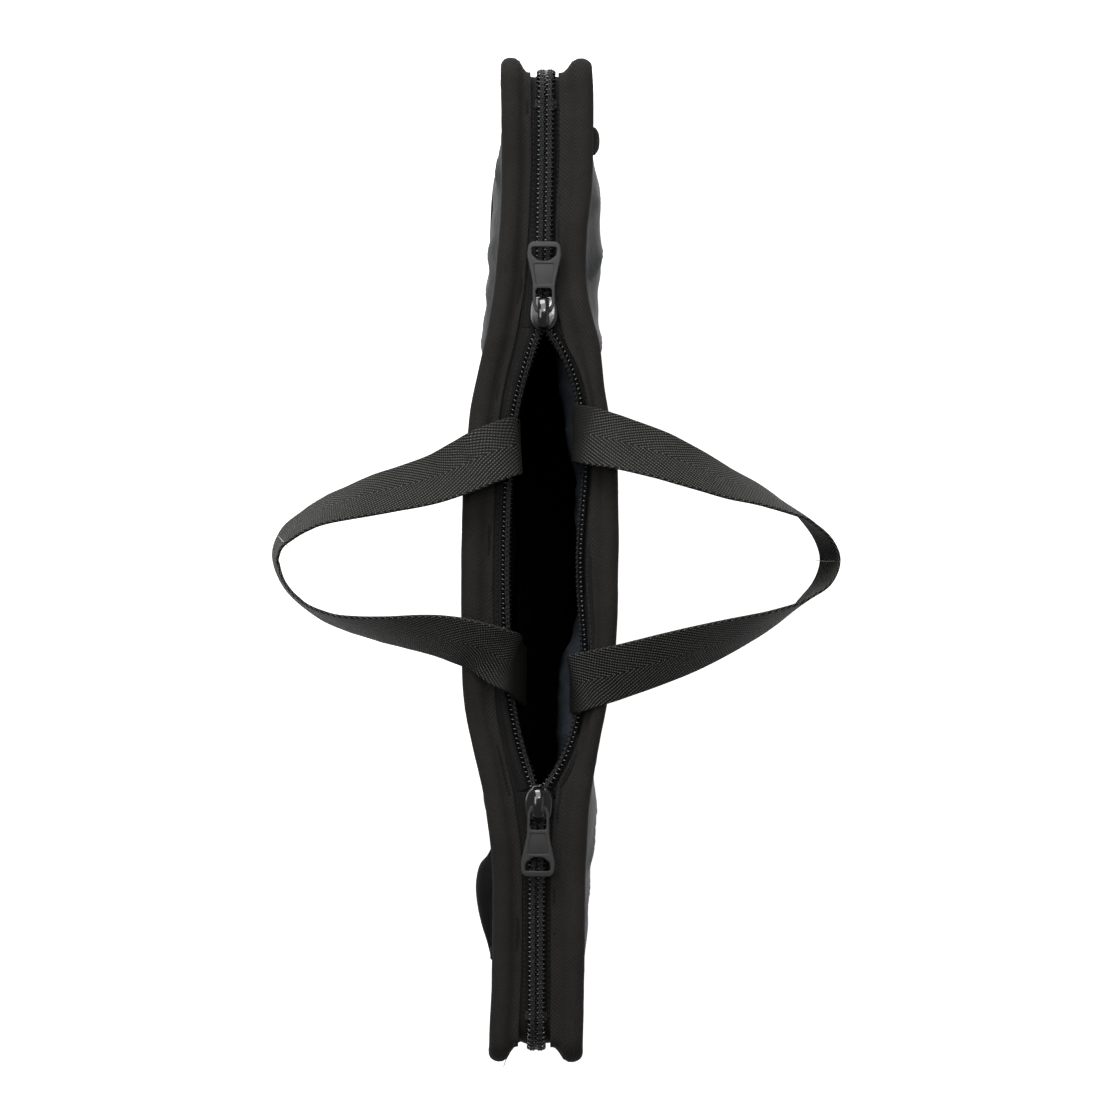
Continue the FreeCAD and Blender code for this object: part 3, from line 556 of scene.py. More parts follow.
def binding_frame():
    """Stations round a panel's bound edge: middle of the roll and its outward direction."""
    corner, step = 6.0, 2.6
    half_y, half_z = RIM_END + 0.9 - RIM_DEEP / 2, (HEIGHT - RIM_DEEP) / 2
    mid_z = HEIGHT / 2
    y, z = half_y - corner, half_z - corner
    centres = ((-y, z), (y, z), (y, -z), (-y, -z), (-y, z))
    stations = []
    for quarter, (here, there) in enumerate(zip(centres, centres[1:])):
        start = 90 - 90 * quarter
        angles = [math.radians(start)] * max(2, int(math.dist(here, there) / step))
        angles += [math.radians(start - 90 * i / 6) for i in range(6)]
        straight = len(angles) - 6
        for i, angle in enumerate(angles):
            t = min(i / straight, 1.0)
            ny, nz = math.cos(angle), math.sin(angle)
            stations.append((here[0] + t * (there[0] - here[0]) + corner * ny,
                             mid_z + here[1] + t * (there[1] - here[1]) + corner * nz, ny, nz))
    return stations


def roll_point(side, station, angle):
    """A point of the bound roll's skin; angle 0 faces away from the bag's middle, 90 along its edge.

    The outer half is round. The inner half is wider and ends in a flat hem on the zip tape.
    """
    y, z, ny, nz = station
    near_top = smooth((z - (HEIGHT - 60)) / 45)
    edge = near_top * rim_edge(side, y) + (1 - near_top) * (HALF_DEPTH + 0.1)
    outer, bend = 5.0, 5.3              # width of the round outer half, radius of the inner half's bend
    inner = near_top * (rim_width(side, y) - outer) + (1 - near_top) * 6.4
    c, s = math.cos(angle), math.sin(angle)
    across = power(c, 0.88) * (outer if c > 0 else inner)
    hem = 3.7 + 2.7 * abs(ny)
    if c > 0:
        out = power(s, 0.9) * RIM_DEEP / 2
    elif s > 0:
        run, steep = 8.6 * 1.06 * abs(across) / inner, 5.1
        round_part = bend - math.sqrt(bend ** 2 - min(run, steep) ** 2)
        out = RIM_DEEP / 2 - min(hem, round_part + 1.1 * max(0.0, run - steep))
    else:
        out = RIM_DEEP / 2 - hem - (RIM_DEEP - hem) * abs(s)
    soft = 0.8 * ripple(y / 21, z / 21, 3.1 * side + across / 9)
    soft += 0.35 * ripple(y / 7, z / 7, 9 + side + across / 5)
    lean = 0.7 * ripple(y / 31, z / 31, 17 + side)
    return (side * (edge - outer + across + 0.3 * soft + 0.5 * lean * near_top),
            y + ny * (out + 0.5 * soft),
            z + nz * (out + (0.5 * soft - 0.2 if z > HEIGHT / 2 else 0)))


def make_binding(side):
    name = SIDE_NAME[side]
    stations = binding_frame()
    stations.append(stations[0])
    ring = [2 * math.pi * k / 26 for k in range(26)]
    rows = [[roll_point(side, station, angle) for angle in ring] for station in stations[:-1]]
    rows.append(rows[0])
    piece = grid_piece(f"{name}_binding", rows, wrap=True)
    merge(piece)
    finish_piece(piece, "bag", TWILL,
                 (f"{name}_top_rim", f"{name}_base_rim", f"{name}_end_rims"))
    seam = math.radians(-38)
    path = [roll_point(side, station, seam) for station in stations]
    stitches(f"{name}_binding_seam", path, (side, 0, 0), BLACK_THREAD)


FLARE = 110                             # below the rims, where the panels start to lean out to the open mouth

# how far the shell's folds stand out beyond its flat wall just below the rims, along the bag
FOLDS = {
    FRONT: ((-205, 0.6), (-160, 0.4), (-135, 0.0), (-125, 0.2), (-115, 1.7), (-104, 2.7), (-93, 1.9), (-80, 1.2),
            (-60, 2.8), (-46, 2.0), (-34, 1.4), (-20, 3.4), (-8, 1.0), (20, 0.6), (50, 0.8), (70, 1.6), (85, 2.6),
            (100, 4.4), (120, 5.6), (150, 5.8), (164, 4.6), (178, 2.2), (190, 1.0), (205, 0.6)),
    BACK: ((-205, 0.3), (-179, 1.0), (-157, 2.0), (-136, 2.8), (-125, 3.6), (-104, 3.9), (-93, 2.2), (-80, 1.0),
           (-50, 0.5), (0, 0.5), (50, 0.6), (66, 0.9), (87, 1.2), (98, 3.0), (108, 5.2), (130, 7.2), (140, 7.2),
           (151, 5.4), (165, 3.0), (175, 1.6), (190, 0.8), (205, 0.5)),
}


def panel_out(side, y, z):
    """Centre plane to the outside of the shell, with its folds."""
    top = rim_edge(side, y) - 1.9
    foot = HALF_DEPTH - 1.8
    rise = smooth((z - (HEIGHT - FLARE)) / (FLARE - RIM_DEEP))
    out = foot + (top - foot) * rise
    edge = smooth(min(1.0, (PANEL_END - abs(y)) / 22, (z - PANEL_FOOT) / 26, (PANEL_TOP - z) / 18))
    below = HEIGHT - z
    belly = 0.3 if side == FRONT else 4.6
    out += belly * edge * math.sin(math.pi * z / HEIGHT) * (1 - (y / RIM_END) ** 4)
    drift = 9 * ripple(y / 30, 0.3, 50 + side)
    loose = through(FOLDS[side], y)
    out += loose * bump((below - 31 - 0.4 * drift) / 31) * smooth((PANEL_END - abs(y)) / 12)
    fold = 1.5 * ripple(y / 25, z / 50, 4.0 + side) + 1.0 * ripple(y / 10, z / 26, 8.0 + side)
    sharp = 1.5 * (crease((y + 0.6 * z) / 34, (z - 0.4 * y) / 62, 2.0 + side) - 0.4)
    pucker = 0.6 * math.sin(y / 2.9 + 2 * ripple(y / 20, 0, side)) * math.exp(-(below - 9) / 14)
    calm = 0.25 + 0.75 * min(1.0, loose / 5) if below < 75 else (0.55 if side == BACK else 0.3)
    out += edge * (calm * (fold + sharp) + (pucker if 8 < below < 60 else 0))
    if side == FRONT and z < SLEEVE_HINGE[1] + 8:
        out = min(out, SLEEVE_HINGE[0] - 0.9)
    return out


def in_port(y, z):
    """Inside one of the slots in the front walls that the sleeves come through."""
    low, tall, half = SLEEVE_HINGE[1] + 0.2, 7, 54
    return low < z < low + tall and abs(abs(y) - SLEEVE_MIDDLE) < half


def beside_ports(a, b):
    """Keeps a face of the front walls, seen between two of its corners, if it isn't in a sleeve's slot."""
    return not in_port((a[1] + b[1]) / 2, (a[2] + b[2]) / 2)


def make_panel(side):
    ys = np.linspace(-PANEL_END, PANEL_END, 168)
    zs = np.linspace(PANEL_FOOT, PANEL_TOP, 150)
    rows = [[(side * panel_out(side, y, z), y, z) for y in ys] for z in zs]
    piece = make_cloth(f"{SIDE_NAME[side]}_shell", rows, SHELL_WALL, SHELL,
                       (f"{SIDE_NAME[side]}_panel",), keep=beside_ports if side == FRONT else None)


def make_gussets():
    """Narrow strips between the bound edges, folded in along their middle."""
    low_x, high_x = -RIM_INNER - 3, RIM_INNER + 3
    for end in (1, -1):
        rows = []
        for z in np.linspace(GUSSET_FOOT, GUSSET_TOP, 110):
            row = []
            for x in np.linspace(low_x, high_x, 23):
                inward = 4.6 * math.exp(-(x / 3.8) ** 2) * smooth(z / 40) * smooth((GUSSET_TOP - z) / 50)
                inward += 0.8 + 0.5 * ripple(x / 6, z / 16, 5 * end) + 0.4 * ripple(x / 3, z / 7, 8 * end)
                row.append((x, end * (GUSSET_FACE - inward), z))
            rows.append(row)
        piece = make_cloth(f"{END_NAME[end]}_gusset_cloth", rows, GUSSET_WALL, SHELL,
                           (f"{END_NAME[end]}_end_gusset",))
    rows = [[(x, y, 1.3 + 0.4 * abs(ripple(x / 7, y / 19, 2)) + 0.7 * math.exp(-(x / 5) ** 2))
             for x in np.linspace(low_x, high_x, 17)]
            for y in np.linspace(-GUSSET_FACE + 1, GUSSET_FACE - 1, 150)]
    piece = make_cloth("base_cloth", rows, GUSSET_WALL, SHELL, ("base_gusset",))


# ---------------------------------------------------------------- inner bag

# how far the slack lining shows inside the coil's inner edge; below 0 it stays behind the zip
SLACK = {
    FRONT: ((-98, -4), (-40, -3), (-22, 1.0), (0, 2.2), (18, 2.0), (34, -3), (98, -4)),
    BACK: ((-98, -1), (-90, -0.5), (-84, 1.6), (-77, 4.8), (-70, 6.6), (-62, 7.8), (-55, 8.4), (-48, 8.0),
           (-41, 6.0), (-36, 3.2), (-30, 1.0), (-20, -1), (-8, -2), (4, -1), (12, 0.2), (22, 1.4), (33, 1.4),
           (41, 3.4), (49, 5.6), (58, 6.3), (68, 6.4), (80, 4.9), (89, 2.2), (98, -1)),
}


def lining_out(side, y, z):
    """Centre plane to the inner bag, which hangs slack just inside the mouth."""
    below = HEIGHT - z
    shell = panel_out(side, y, min(z, LINING_PLAIN)) - 3.4
    shell = min(shell, HALF_DEPTH - 4.4) if side == FRONT else shell
    under_tape = max(rim_edge(side, y) - rim_width(side, y) - 0.6, 7.2)
    open_here = smooth((MOUTH_REACH - abs(y)) / 12)
    shown = mouth_line(side, y) - through(SLACK[side], y)
    hang = 1.1 * ripple(y / 17, z / 34, 21 + side) + 1.3 * crease(y / 15, (z + 0.5 * y) / 46, 14 + side)
    hang += 0.45 * ripple(y / 7, z / 16, 31 + side)
    reach = smooth((below - 5) / 24) * open_here
    upper = under_tape * (1 - reach) + (shown + 0.8 - hang * 0.8) * reach
    sink = smooth((below - 34) / 80)
    return max(upper * (1 - sink) + (shell - 0.6 - 0.7 * abs(hang)) * sink, 2.2)


def make_lining(side):
    ys = np.linspace(-LINING_END, LINING_END, 150)
    zs = [*np.linspace(LINING_BASE, LINING_PLAIN, 44), *np.linspace(LINING_PLAIN + 3, LINING_TOP, 40)]
    rows = [[(side * lining_out(side, y, z), y, z) for y in ys] for z in zs]
    # the front lining lies in the mouth's shade and takes the dark painted-shade copy of the lining cloth
    surface, keep = (LIT_LINING, None) if side == BACK else (SHADED_LINING, beside_ports)
    piece = make_cloth(f"{SIDE_NAME[side]}_inner_bag", rows, LINING_WALL, surface,
                       (f"{SIDE_NAME[side]}_lining",), keep=keep)


def make_lining_closure():
    """The narrow ends and the base of the inner bag."""
    for end in (1, -1):
        rows = []
        for z in np.linspace(LINING_BASE - 0.4, INNER_END_TOP, 90):
            half = min(lining_out(FRONT, end * LINING_END, z), lining_out(BACK, end * LINING_END, z))
            row = []
            for t in np.linspace(-1, 1, 19):
                sag = 1.6 * (1 - t * t) + 0.6 * ripple(3 * t, z / 18, 3 * end)
                row.append((t * (half + 0.2), end * (LINING_END - sag), z))
            rows.append(row)
        # the inner ends take the dark painted-shade copy of the lining cloth
        piece = make_cloth(f"{END_NAME[end]}_inner_end", rows, LINING_WALL, SHADED_LINING)
        if end > 0:
            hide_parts("lining_ends")
    rows = []
    for y in np.linspace(-LINING_END, LINING_END, 120):
        half = min(lining_out(FRONT, y, LINING_BASE), lining_out(BACK, y, LINING_BASE))
        rows.append([(t * half, y, LINING_BASE - 0.2 + 0.8 * abs(ripple(3 * t, y / 18, 6)))
                     for t in np.linspace(-1, 1, 15)])
    # the inner base takes the dark painted-shade copy of the lining cloth too
    piece = make_cloth("inner_base", rows, LINING_WALL, SHADED_LINING, ("lining_base",))


# ---------------------------------------------------------------- zip

PITCH = 2.05
CHAIN_END = BEND_START + ZIP_BEND * math.pi / 2
TURN_POINT = 3.9                       # across the chain, the line that the open halves roll about

# degrees that the open halves roll down into the mouth, along the bag
ROLLED = {
    FRONT: ((-98, 0), (-86, 34), (-66, 56), (-40, 52), (-24, 27), (20, 24), (40, 30), (64, 40), (84, 26), (98, 0)),
    BACK: ((-98, 0), (-86, 48), (-70, 66), (-30, 70), (40, 70), (72, 66), (86, 46), (98, 0)),
}


def bent(x, y, height):
    """A point over the zip's level line, carried down round the bend at each end of the bag."""
    past = abs(y) - BEND_START
    if past <= 0:
        return (x, y, TAPE_TOP + height)
    angle = min(past / ZIP_BEND, math.pi / 2)
    spare = max(0.0, past - ZIP_BEND * math.pi / 2)
    reach = ZIP_BEND + height
    return (x, math.copysign(BEND_START + reach * math.sin(angle), y),
            TAPE_TOP - ZIP_BEND + reach * math.cos(angle) - spare)


def chain_point(side, y, across, height):
    """across: outwards from the line where the halves meet; height: above the tape."""
    roll = math.radians(through(ROLLED[side], y))
    if across < TURN_POINT:
        inward, lift = across - TURN_POINT, height
        across = TURN_POINT + inward * math.cos(roll) - lift * math.sin(roll)
        height = inward * math.sin(roll) + lift * math.cos(roll)
    slope = (mouth_line(side, y + 0.5) - mouth_line(side, y - 0.5)) if abs(y) < MOUTH_REACH else 0.0
    scale = 1 / math.hypot(1, slope)
    sway = 0.35 * ripple(y / 40, 0.5, 60)
    return bent(side * (mouth_line(side, y) + across * scale) + sway, y - slope * across * scale, height)


def mouth_stations(side):
    """Evenly spaced along one edge of the mouth: (y, turns of the coil counted from the near apex)."""
    ys = np.linspace(-MOUTH_REACH, MOUTH_REACH, 800)
    run = np.array(lengths([(mouth_line(side, y), y) for y in ys]))
    turns = round(run[-1] / PITCH)
    return ys, run / run[-1] * turns, turns


def chain_turns(side, samples):
    """(turn, y) along one half of the chain, the turns evenly spaced round the open mouth."""
    ys, counts, turns = mouth_stations(side)
    outside = (CHAIN_END - MOUTH_REACH) / PITCH
    places = []
    for i in range(int((turns + 2 * outside) * samples)):
        turn = -outside + i / samples
        if turn < 0:
            y = -MOUTH_REACH + turn * PITCH
        elif turn > turns:
            y = MOUTH_REACH + (turn - turns) * PITCH
        else:
            y = float(np.interp(turn, counts, ys))
        places.append((turn, y))
    return places


def make_coil(side):
    """One half of the chain: a flattened coil of filament, its heads meshing where the zip is closed."""
    half_turn = 0.0 if side == FRONT else 0.5
    path = []
    for turn, y in chain_turns(side, 16):
        angle = 2 * math.pi * (turn + half_turn)
        c, s = math.cos(angle), math.sin(angle)
        across = 1.6 - 2.15 * power(c, 0.62)
        height = 1.3 + 0.9 * power(s, 0.75)
        path.append(chain_point(side, y, across, height))
    make_solid(f"{SIDE_NAME[side]}_coil", tube_rows(path, 0.38, sides=8), "bag", FILAMENT,
               (f"{SIDE_NAME[side]}_zip_coil",))
    cord = [chain_point(side, y, 1.6, 1.3) for y in np.linspace(-CHAIN_END + 1, CHAIN_END - 1, 420)]
    make_solid(f"{SIDE_NAME[side]}_coil_cord", tube_rows(cord, 0.55), "bag", TAPE)
    make_coil_thread(side, half_turn)


def make_coil_thread(side, half_turn):
    """The sewing thread that ties the coil down: it dips between the turns and hides their middles."""
    for name, across, wide in (("inner", 1.15, 0.44), ("outer", 2.15, 0.46)):
        rows = []
        for turn, y in chain_turns(side, 8)[4:-4]:
            beat = math.sin(2 * math.pi * (turn + half_turn) - math.pi / 2)
            middle = across + 0.16 * math.cos(math.pi * (turn + half_turn))
            rows.append([chain_point(side, y, middle + wide * c, 2.42 + 0.19 * beat + 0.26 * s)
                         for c, s in circle(8)])
        make_solid(f"{SIDE_NAME[side]}_{name}_coil_thread", rows, "bag", COIL_THREAD)


def make_tape(side):
    """The zip's woven tape, from under the coil to under the binding."""
    rows = []
    reach = CHAIN_END + 5
    for y in np.linspace(-reach, reach, 330):
        at = max(-RIM_END, min(RIM_END, y))
        inner = rim_edge(side, at) - rim_width(side, at)
        wide = inner + 2.2 - mouth_line(side, y)
        row = []
        for t in np.linspace(0, 1, 15):
            across = 0.9 + (wide - 0.9) * t
            valley = -1.1 * bump((across - wide + 3.4) / 2.6) + 0.25 * bump((across - 5.6) / 1.2)
            row.append(chain_point(side, y, across, valley - 0.35 + 0.2 * ripple(y / 8, across / 3, side)))
        rows.append(row)
    make_cloth(f"{SIDE_NAME[side]}_tape", rows, TAPE_WALL, TAPE, (f"{SIDE_NAME[side]}_zip_tape",))
    path = [chain_point(side, y, 5.2, -0.05) for y in np.linspace(-BEND_START, BEND_START, 500)]
    stitches(f"{SIDE_NAME[side]}_coil_seam", path, (0, 0, 1), COIL_THREAD, length=1.7, gap=0.5, radius=0.2)


def flat_outline(name, outlines, thickness, edge):
    """A plate with rounded edges: the first outline is its rim, the others are holes."""
    curve = bpy.data.curves.new(name, "CURVE")
    curve.dimensions = "2D"
    curve.fill_mode = "BOTH"
    curve.extrude = (thickness / 2 - edge) * MM
    curve.bevel_depth = edge * MM
    curve.offset = -edge * MM
    curve.bevel_resolution = 3
    for points in outlines:
        line = curve.splines.new("POLY")
        line.points.add(len(points) - 1)
        for spot, (x, y) in zip(line.points, points):
            spot.co = (x * MM, y * MM, 0, 1)
        line.use_cyclic_u = True
    piece = add_object(name, curve_mesh(name, curve))
    merge(piece)
    return piece


def place_mesh(piece, matrix):
    piece.data.transform(matrix)
    piece.data.update()
    return piece


def rounded_loop(corners, steps=7):
    """A closed outline with round corners: each corner is (x, y, radius)."""
    points = []
    count = len(corners)
    for i, (x, y, radius) in enumerate(corners):
        before = Vector(corners[i - 1][:2])
        after = Vector(corners[(i + 1) % count][:2])
        spot = Vector((x, y))
        a, b = (before - spot).normalized(), (after - spot).normalized()
        half = a.angle(b) / 2
        cut = min(radius / math.tan(half), 0.48 * (before - spot).length, 0.48 * (after - spot).length)
        start, end = spot + a * cut, spot + b * cut
        for k in range(steps + 1):
            t = k / steps
            points.append(tuple((1 - t) ** 2 * start + 2 * t * (1 - t) * spot + t * t * end))
    return points


def mirrored(right):
    return right + [(-x, y, r) for x, y, r in reversed(right)]


def chain_matrix(end, z):
    """From a drawing whose +Y is away from the mouth to its place on the chain."""
    return Matrix.Translation((0, end * SLIDER_MIDDLE * MM, z * MM)) @ Matrix.Rotation(
        0 if end > 0 else math.pi, 4, "Z")


def join(name, pieces):
    work = bmesh.new()
    for piece in pieces:
        work.from_mesh(piece.data)
        bpy.data.objects.remove(piece)
    mesh = bpy.data.meshes.new(name)
    work.to_mesh(mesh)
    work.free()
    return add_object(name, mesh)


def shade(piece):
    """Smooth shading, with the sharp edges kept."""
    piece.data.polygons.foreach_set("use_smooth", [True] * len(piece.data.polygons))
    piece.data.set_sharp_from_angle(angle=math.radians(40))


SLIDER_SHIFT = {1: 1.8, -1: 0.2}        # where each slider has come to rest, away from the mouth
PULL_SHIFT = {1: 0.9, -1: 0.0}


def slider_shape():
    """Half ellipse at the nose, tapering to a square tail."""
    right = [(6.05 * math.cos(a) ** 0.85, 7.4 * math.sin(a)) for a in np.linspace(-math.pi / 2, 0, 16)[1:]]
    right += [(6.0, 1.6), (5.8, 3.6), (5.45, 5.6), (5.1, 6.7), (4.5, 7.3), (3.6, 7.5)]
    return [(0.0, -7.4)] + right + [(-x, y) for x, y in reversed(right)]


def domed_plate(name, outline, thickness, dome):
    """A plate with a domed top, a round edge and a flat underside."""
    half = thickness / 2
    profile = [(0.03, half + dome), (0.3, half + 0.93 * dome), (0.55, half + 0.74 * dome),
               (0.75, half + 0.46 * dome), (0.88, half + 0.16 * dome), (0.95, half - 0.12),
               (0.985, 0.5 * half), (1.0, 0.0), (0.985, -0.6 * half), (0.94, -half), (0.5, -half), (0.03, -half)]
    rows = [[(x * t, y * t, z) for x, y in outline] for t, z in profile]
    return grid_piece(name, rows, wrap=True, caps=True)


def make_slider(end):
    """Domed shield-shaped body with side walls, a bridge over it and the pull in the bridge."""
    name = END_NAME[end]
    foot = low_mm("far_slider")[2]
    walls_low, walls_high = TAPE_TOP + 0.4, PLATE_TOP - 1.0
    parts = [place_mesh(domed_plate(f"{name}_{plate}", slider_shape(), thick, dome), chain_matrix(end, z))
             for plate, thick, dome, z in (("upper", 1.7, 0.16, PLATE_TOP - 1.1), ("lower", 1.2, 0.2, foot + 0.7))]
    for hand in (1, -1):
        corners = [(hand * 5.0, -2, 0.3), (hand * 5.8, -1.4, 0.3), (hand * 5.3, 6.4, 0.3), (hand * 4.7, 6.4, 0.3)]
        wall = flat_outline(f"{name}_wall", [rounded_loop(corners, 2)], walls_high - walls_low, 0.15)
        parts.append(place_mesh(wall, chain_matrix(end, (walls_low + walls_high) / 2)))
    post = flat_outline(f"{name}_post", [rounded_loop(mirrored([(0.9, -6.8, 0.6), (0.7, -3.8, 0.3)]), 3)],
                        PLATE_TOP - foot - 1.8, 0.2)
    parts.append(place_mesh(post, chain_matrix(end, (PLATE_TOP + foot) / 2)))
    body = join(f"{name}_slider_body", parts)
    place_mesh(body, Matrix.Translation((0, end * SLIDER_SHIFT[end] * MM, 0)))
    shade(body)
    finish_piece(body, f"{name}_runner", SLIDER, (f"{name}_slider",))
    make_bridge(end)
    make_pull(end)


def make_bridge(end):
    """A smooth strap of metal that rises from the nose, runs level and comes down behind the pull's bar."""
    name = END_NAME[end]
    top = high_mm("far_slider_bridge")[2] - PLATE_TOP
    spine = [(-6.3, -0.3), (-6.0, 1.2), (-5.0, 2.6), (-3.2, top - 0.75), (-1.0, top - 0.45), (1.6, top - 0.4),
             (3.8, top - 0.75), (5.5, 2.4), (6.2, 1.2), (6.4, -0.3)]
    half_x, half_z = 2.4, 0.78

    def spine_at(t):
        return Vector((0, *(through([(k, spot[axis]) for k, spot in enumerate(spine)], t) for axis in (0, 1))))

    rows = []
    for t in np.linspace(0, len(spine) - 1, 41):
        ahead = (spine_at(t + 0.05) - spine_at(t - 0.05)).normalized()
        up = Vector((1, 0, 0)).cross(ahead)
        rows.append([tuple(spine_at(t) + Vector((power(c, 0.9) * half_x, 0, 0)) + up * (s * half_z))
                     for c, s in circle(14)])
    piece = grid_piece(f"{name}_bridge", rows, wrap=True, caps=True)
    place_mesh(piece, Matrix.Translation((0, end * SLIDER_SHIFT[end] * MM, 0)) @ chain_matrix(end, PLATE_TOP))
    finish_piece(piece, f"{name}_runner", BRIDGE, (f"{name}_slider_bridge",))


def make_pull(end):
    """A flat tab: eye round the bridge, narrow neck, wide end with a window, and a raised border."""
    name = END_NAME[end]
    start = 1.15 + PULL_SHIFT[end]

    def drawn(corners):
        return rounded_loop(mirrored([(x, start + y, r) for x, y, r in corners]))

    rim = drawn([(3.4, 0, 3.0), (4.65, 3.6, 3.5), (4.8, 13.0, 14.0), (7.3, 24.5, 7.0), (6.7, 30.3, 3.6)])
    eye = drawn([(1.7, 1.7, 1.7), (3.4, 3.6, 2.4), (3.5, 10.5, 1.6)])
    window = drawn([(2.2, 22.1, 2.6), (5.1, 24.4, 2.4), (5.5, 28.0, 1.2)])
    recess = drawn([(3.1, 11.9, 0.7), (3.5, 15.5, 6.0), (4.4, 20.8, 0.9)])
    plate = flat_outline(f"{name}_plate", [rim, eye, window], 1.2, 0.3)
    place_mesh(plate, Matrix.Translation((0, 0, -0.15 * MM)))
    frame_part = flat_outline(f"{name}_border", [rim, eye, window, recess], 0.7, 0.25)
    place_mesh(frame_part, Matrix.Translation((0, 0, 0.4 * MM)))
    piece = join(f"{name}_pull_tab", [plate, frame_part])
    place_mesh(piece, chain_matrix(end, PULL_LEVEL))
    shade(piece)
    finish_piece(piece, f"{name}_tongue", PULL, (f"{name}_pull",))


def make_zip_stops():
    """Thread-bound ends of the chain, just before it turns down."""
    for end in (1, -1):
        rows = [[(power(c, 0.5) * 4.7, end * y, TAPE_TOP + 0.45 + power(s, 0.6) * 0.7) for c, s in circle(20)]
                for y in np.linspace(BEND_START - 3.4, BEND_START + 0.2, 10)]
        piece = make_solid(f"{END_NAME[end]}_stop", rows, "bag", BLACK_THREAD)
        if end > 0:
            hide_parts("zip_end_stops")


# ---------------------------------------------------------------- handles

# webbing's middle line: out from the centre plane, along, up from the rims, heading and twist in degrees
HANDLE_LINE = {
    FRONT: [
        (12.0, 48.7, -40, 0, 0), (10.3, 48.7, -16, 0, 0), (9.9, 48.7, -8, -3, 0), (10.4, 48.6, -3.4, -8, 0),
        (12.4, 48.2, 0.0, -12, 1), (16, 47.0, 1.6, -16, 4), (24, 43.9, 3.7, -20, 11), (32, 39.9, 5.4, -23, 20),
        (45, 34.2, 5.0, -22, 33), (61, 29.8, 0.0, -18, 44), (74, 26.6, -6, -17, 51), (87, 22.8, -13, -20, 62),
        (95, 19.9, -18.5, -25, 68), (105, 14.2, -26, -33, 73), (112.5, 7.6, -32, -54, 77),
        (115.4, -1.0, -35.5, -90, 81), (110.8, -12.6, -35, -122, 84), (100, -22.2, -30, -142, 84),
        (87.5, -27.6, -20, -158, 80), (74, -30.4, -11, -166, 72), (61.5, -31.6, -3, -168, 63),
        (45, -32.8, 5.0, -168, 48), (33, -34.9, 8.4, -163, 36), (24, -37.4, 7.2, -157, 31),
        (18.4, -40.2, 4.6, -162, 20), (14.4, -42.5, 1.9, -172, 9), (12, -44.2, -0.4, -178, 3),
        (10.2, -46.2, -3.8, -180, 0), (8.0, -48.8, -10, -180, 0), (6.4, -51, -20, -180, 0),
        (8.0, -53, -40, -180, 0),
    ],
    BACK: [
        (17.0, 54, -42, 0, 0), (14.2, 54, -16, 0, 0), (13.6, 54, -8, 0, 0), (14.1, 54, -3.2, -4, 0),
        (16.2, 53.8, 0.1, -9, 1), (19.6, 53.1, 1.9, -14, 4), (26, 51.6, 4.0, -17, 14), (33, 50.0, 5.8, -17, 24),
        (50, 45.2, 5.0, -19, 35), (60, 41.6, 3.0, -20, 43), (68, 38.6, 0.5, -21, 50), (80, 33.8, -4, -22, 60),
        (93.5, 29.2, -9, -25, 71), (105, 24.1, -14.5, -28, 82), (113.2, 19.4, -19, -36, 90),
        (121.8, 10.3, -24.5, -62, 100), (125.0, 1.0, -27, -90, 105), (121.6, -8.6, -25, -118, 101),
        (113.0, -17.0, -20, -144, 90), (105, -22.3, -16.5, -153, 80), (93.5, -27.5, -11, -159, 68),
        (68, -36.4, -0.5, -163, 44), (50, -42.0, 5.2, -163, 31), (33, -47.2, 5.9, -161, 21),
        (26, -49.2, 4.1, -158, 13), (19.6, -50.9, 1.9, -156, 5), (16.2, -52.1, 0.1, -163, 1),
        (14.1, -53, -3.2, -172, 0), (13.6, -53, -8, -180, 0), (14.2, -53, -16, -180, 0),
        (17.0, -53, -42, -180, 0),
    ],
}


# painted shade at the far and the near root, where the webbing lies in the mouth's shade: how strong, and how far
# out
ROOT_SHADE = {FRONT: ((0.55, 21), (1.0, 17.5)), BACK: ((0.95, 24), (0.95, 19.5))}


def strap_ring(side, out, along, up, heading, twist, ahead):
    """The webbing's cut edge: flat faces, slightly thicker round selvedges."""
    turn, roll = math.radians(heading), math.radians(twist)
    wide = Vector((-math.sin(turn) * math.cos(roll), math.cos(turn) * math.cos(roll), -math.sin(roll)))
    wide = (wide - ahead * wide.dot(ahead)).normalized()
    thick = ahead.cross(wide)
    ring = []
    for c, s in circle(26):
        a = power(c, 0.45) * STRAP_HALF
        edge = 1 + 0.18 * smooth((abs(a) - 10.4) / 1.2)
        b = power(s, 0.35) * STRAP_WALL / 2 * edge
        b += 0.35 * (1 - (a / STRAP_HALF) ** 2) * ripple(out / 14, along / 14, 71 + side)
        spot = Vector((out, along, HEIGHT + up)) + wide * a + thick * b
        ring.append((side * spot.x, spot.y, spot.z))
    return ring


def handle_stations(side):
    """The middle line at even steps."""
    line = HANDLE_LINE[side]
    steps = lengths([(p[0], p[1], p[2]) for p in line])
    tracks = [list(zip(steps, [p[k] for p in line])) for k in range(5)]
    return [[through(track, at) for track in tracks] for at in np.arange(0, steps[-1], 1.5)]


def make_handle(side):
    name = SIDE_NAME[side]
    values = handle_stations(side)
    rows = []
    for i, (out, along, up, heading, twist) in enumerate(values):
        a, b = values[max(i - 1, 0)], values[min(i + 1, len(values) - 1)]
        ahead = Vector((b[0] - a[0], b[1] - a[1], b[2] - a[2])).normalized()
        rows.append(strap_ring(side, out, along, up, heading, twist, ahead))
    # painted shade, strongest at each root where the webbing goes down into the mouth
    painted_shade = []
    for out, along, *_ in values:
        depth, reach = ROOT_SHADE[side][0 if along >= 0 else 1]
        painted_shade.append(depth * smooth((reach - out) / 6.5))
    piece = make_solid(f"{name}_strap", rows, None, WEBBING,
                       (f"{name}_handle", f"{name}_handle_ends"), painted_shade=painted_shade)
    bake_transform(piece)


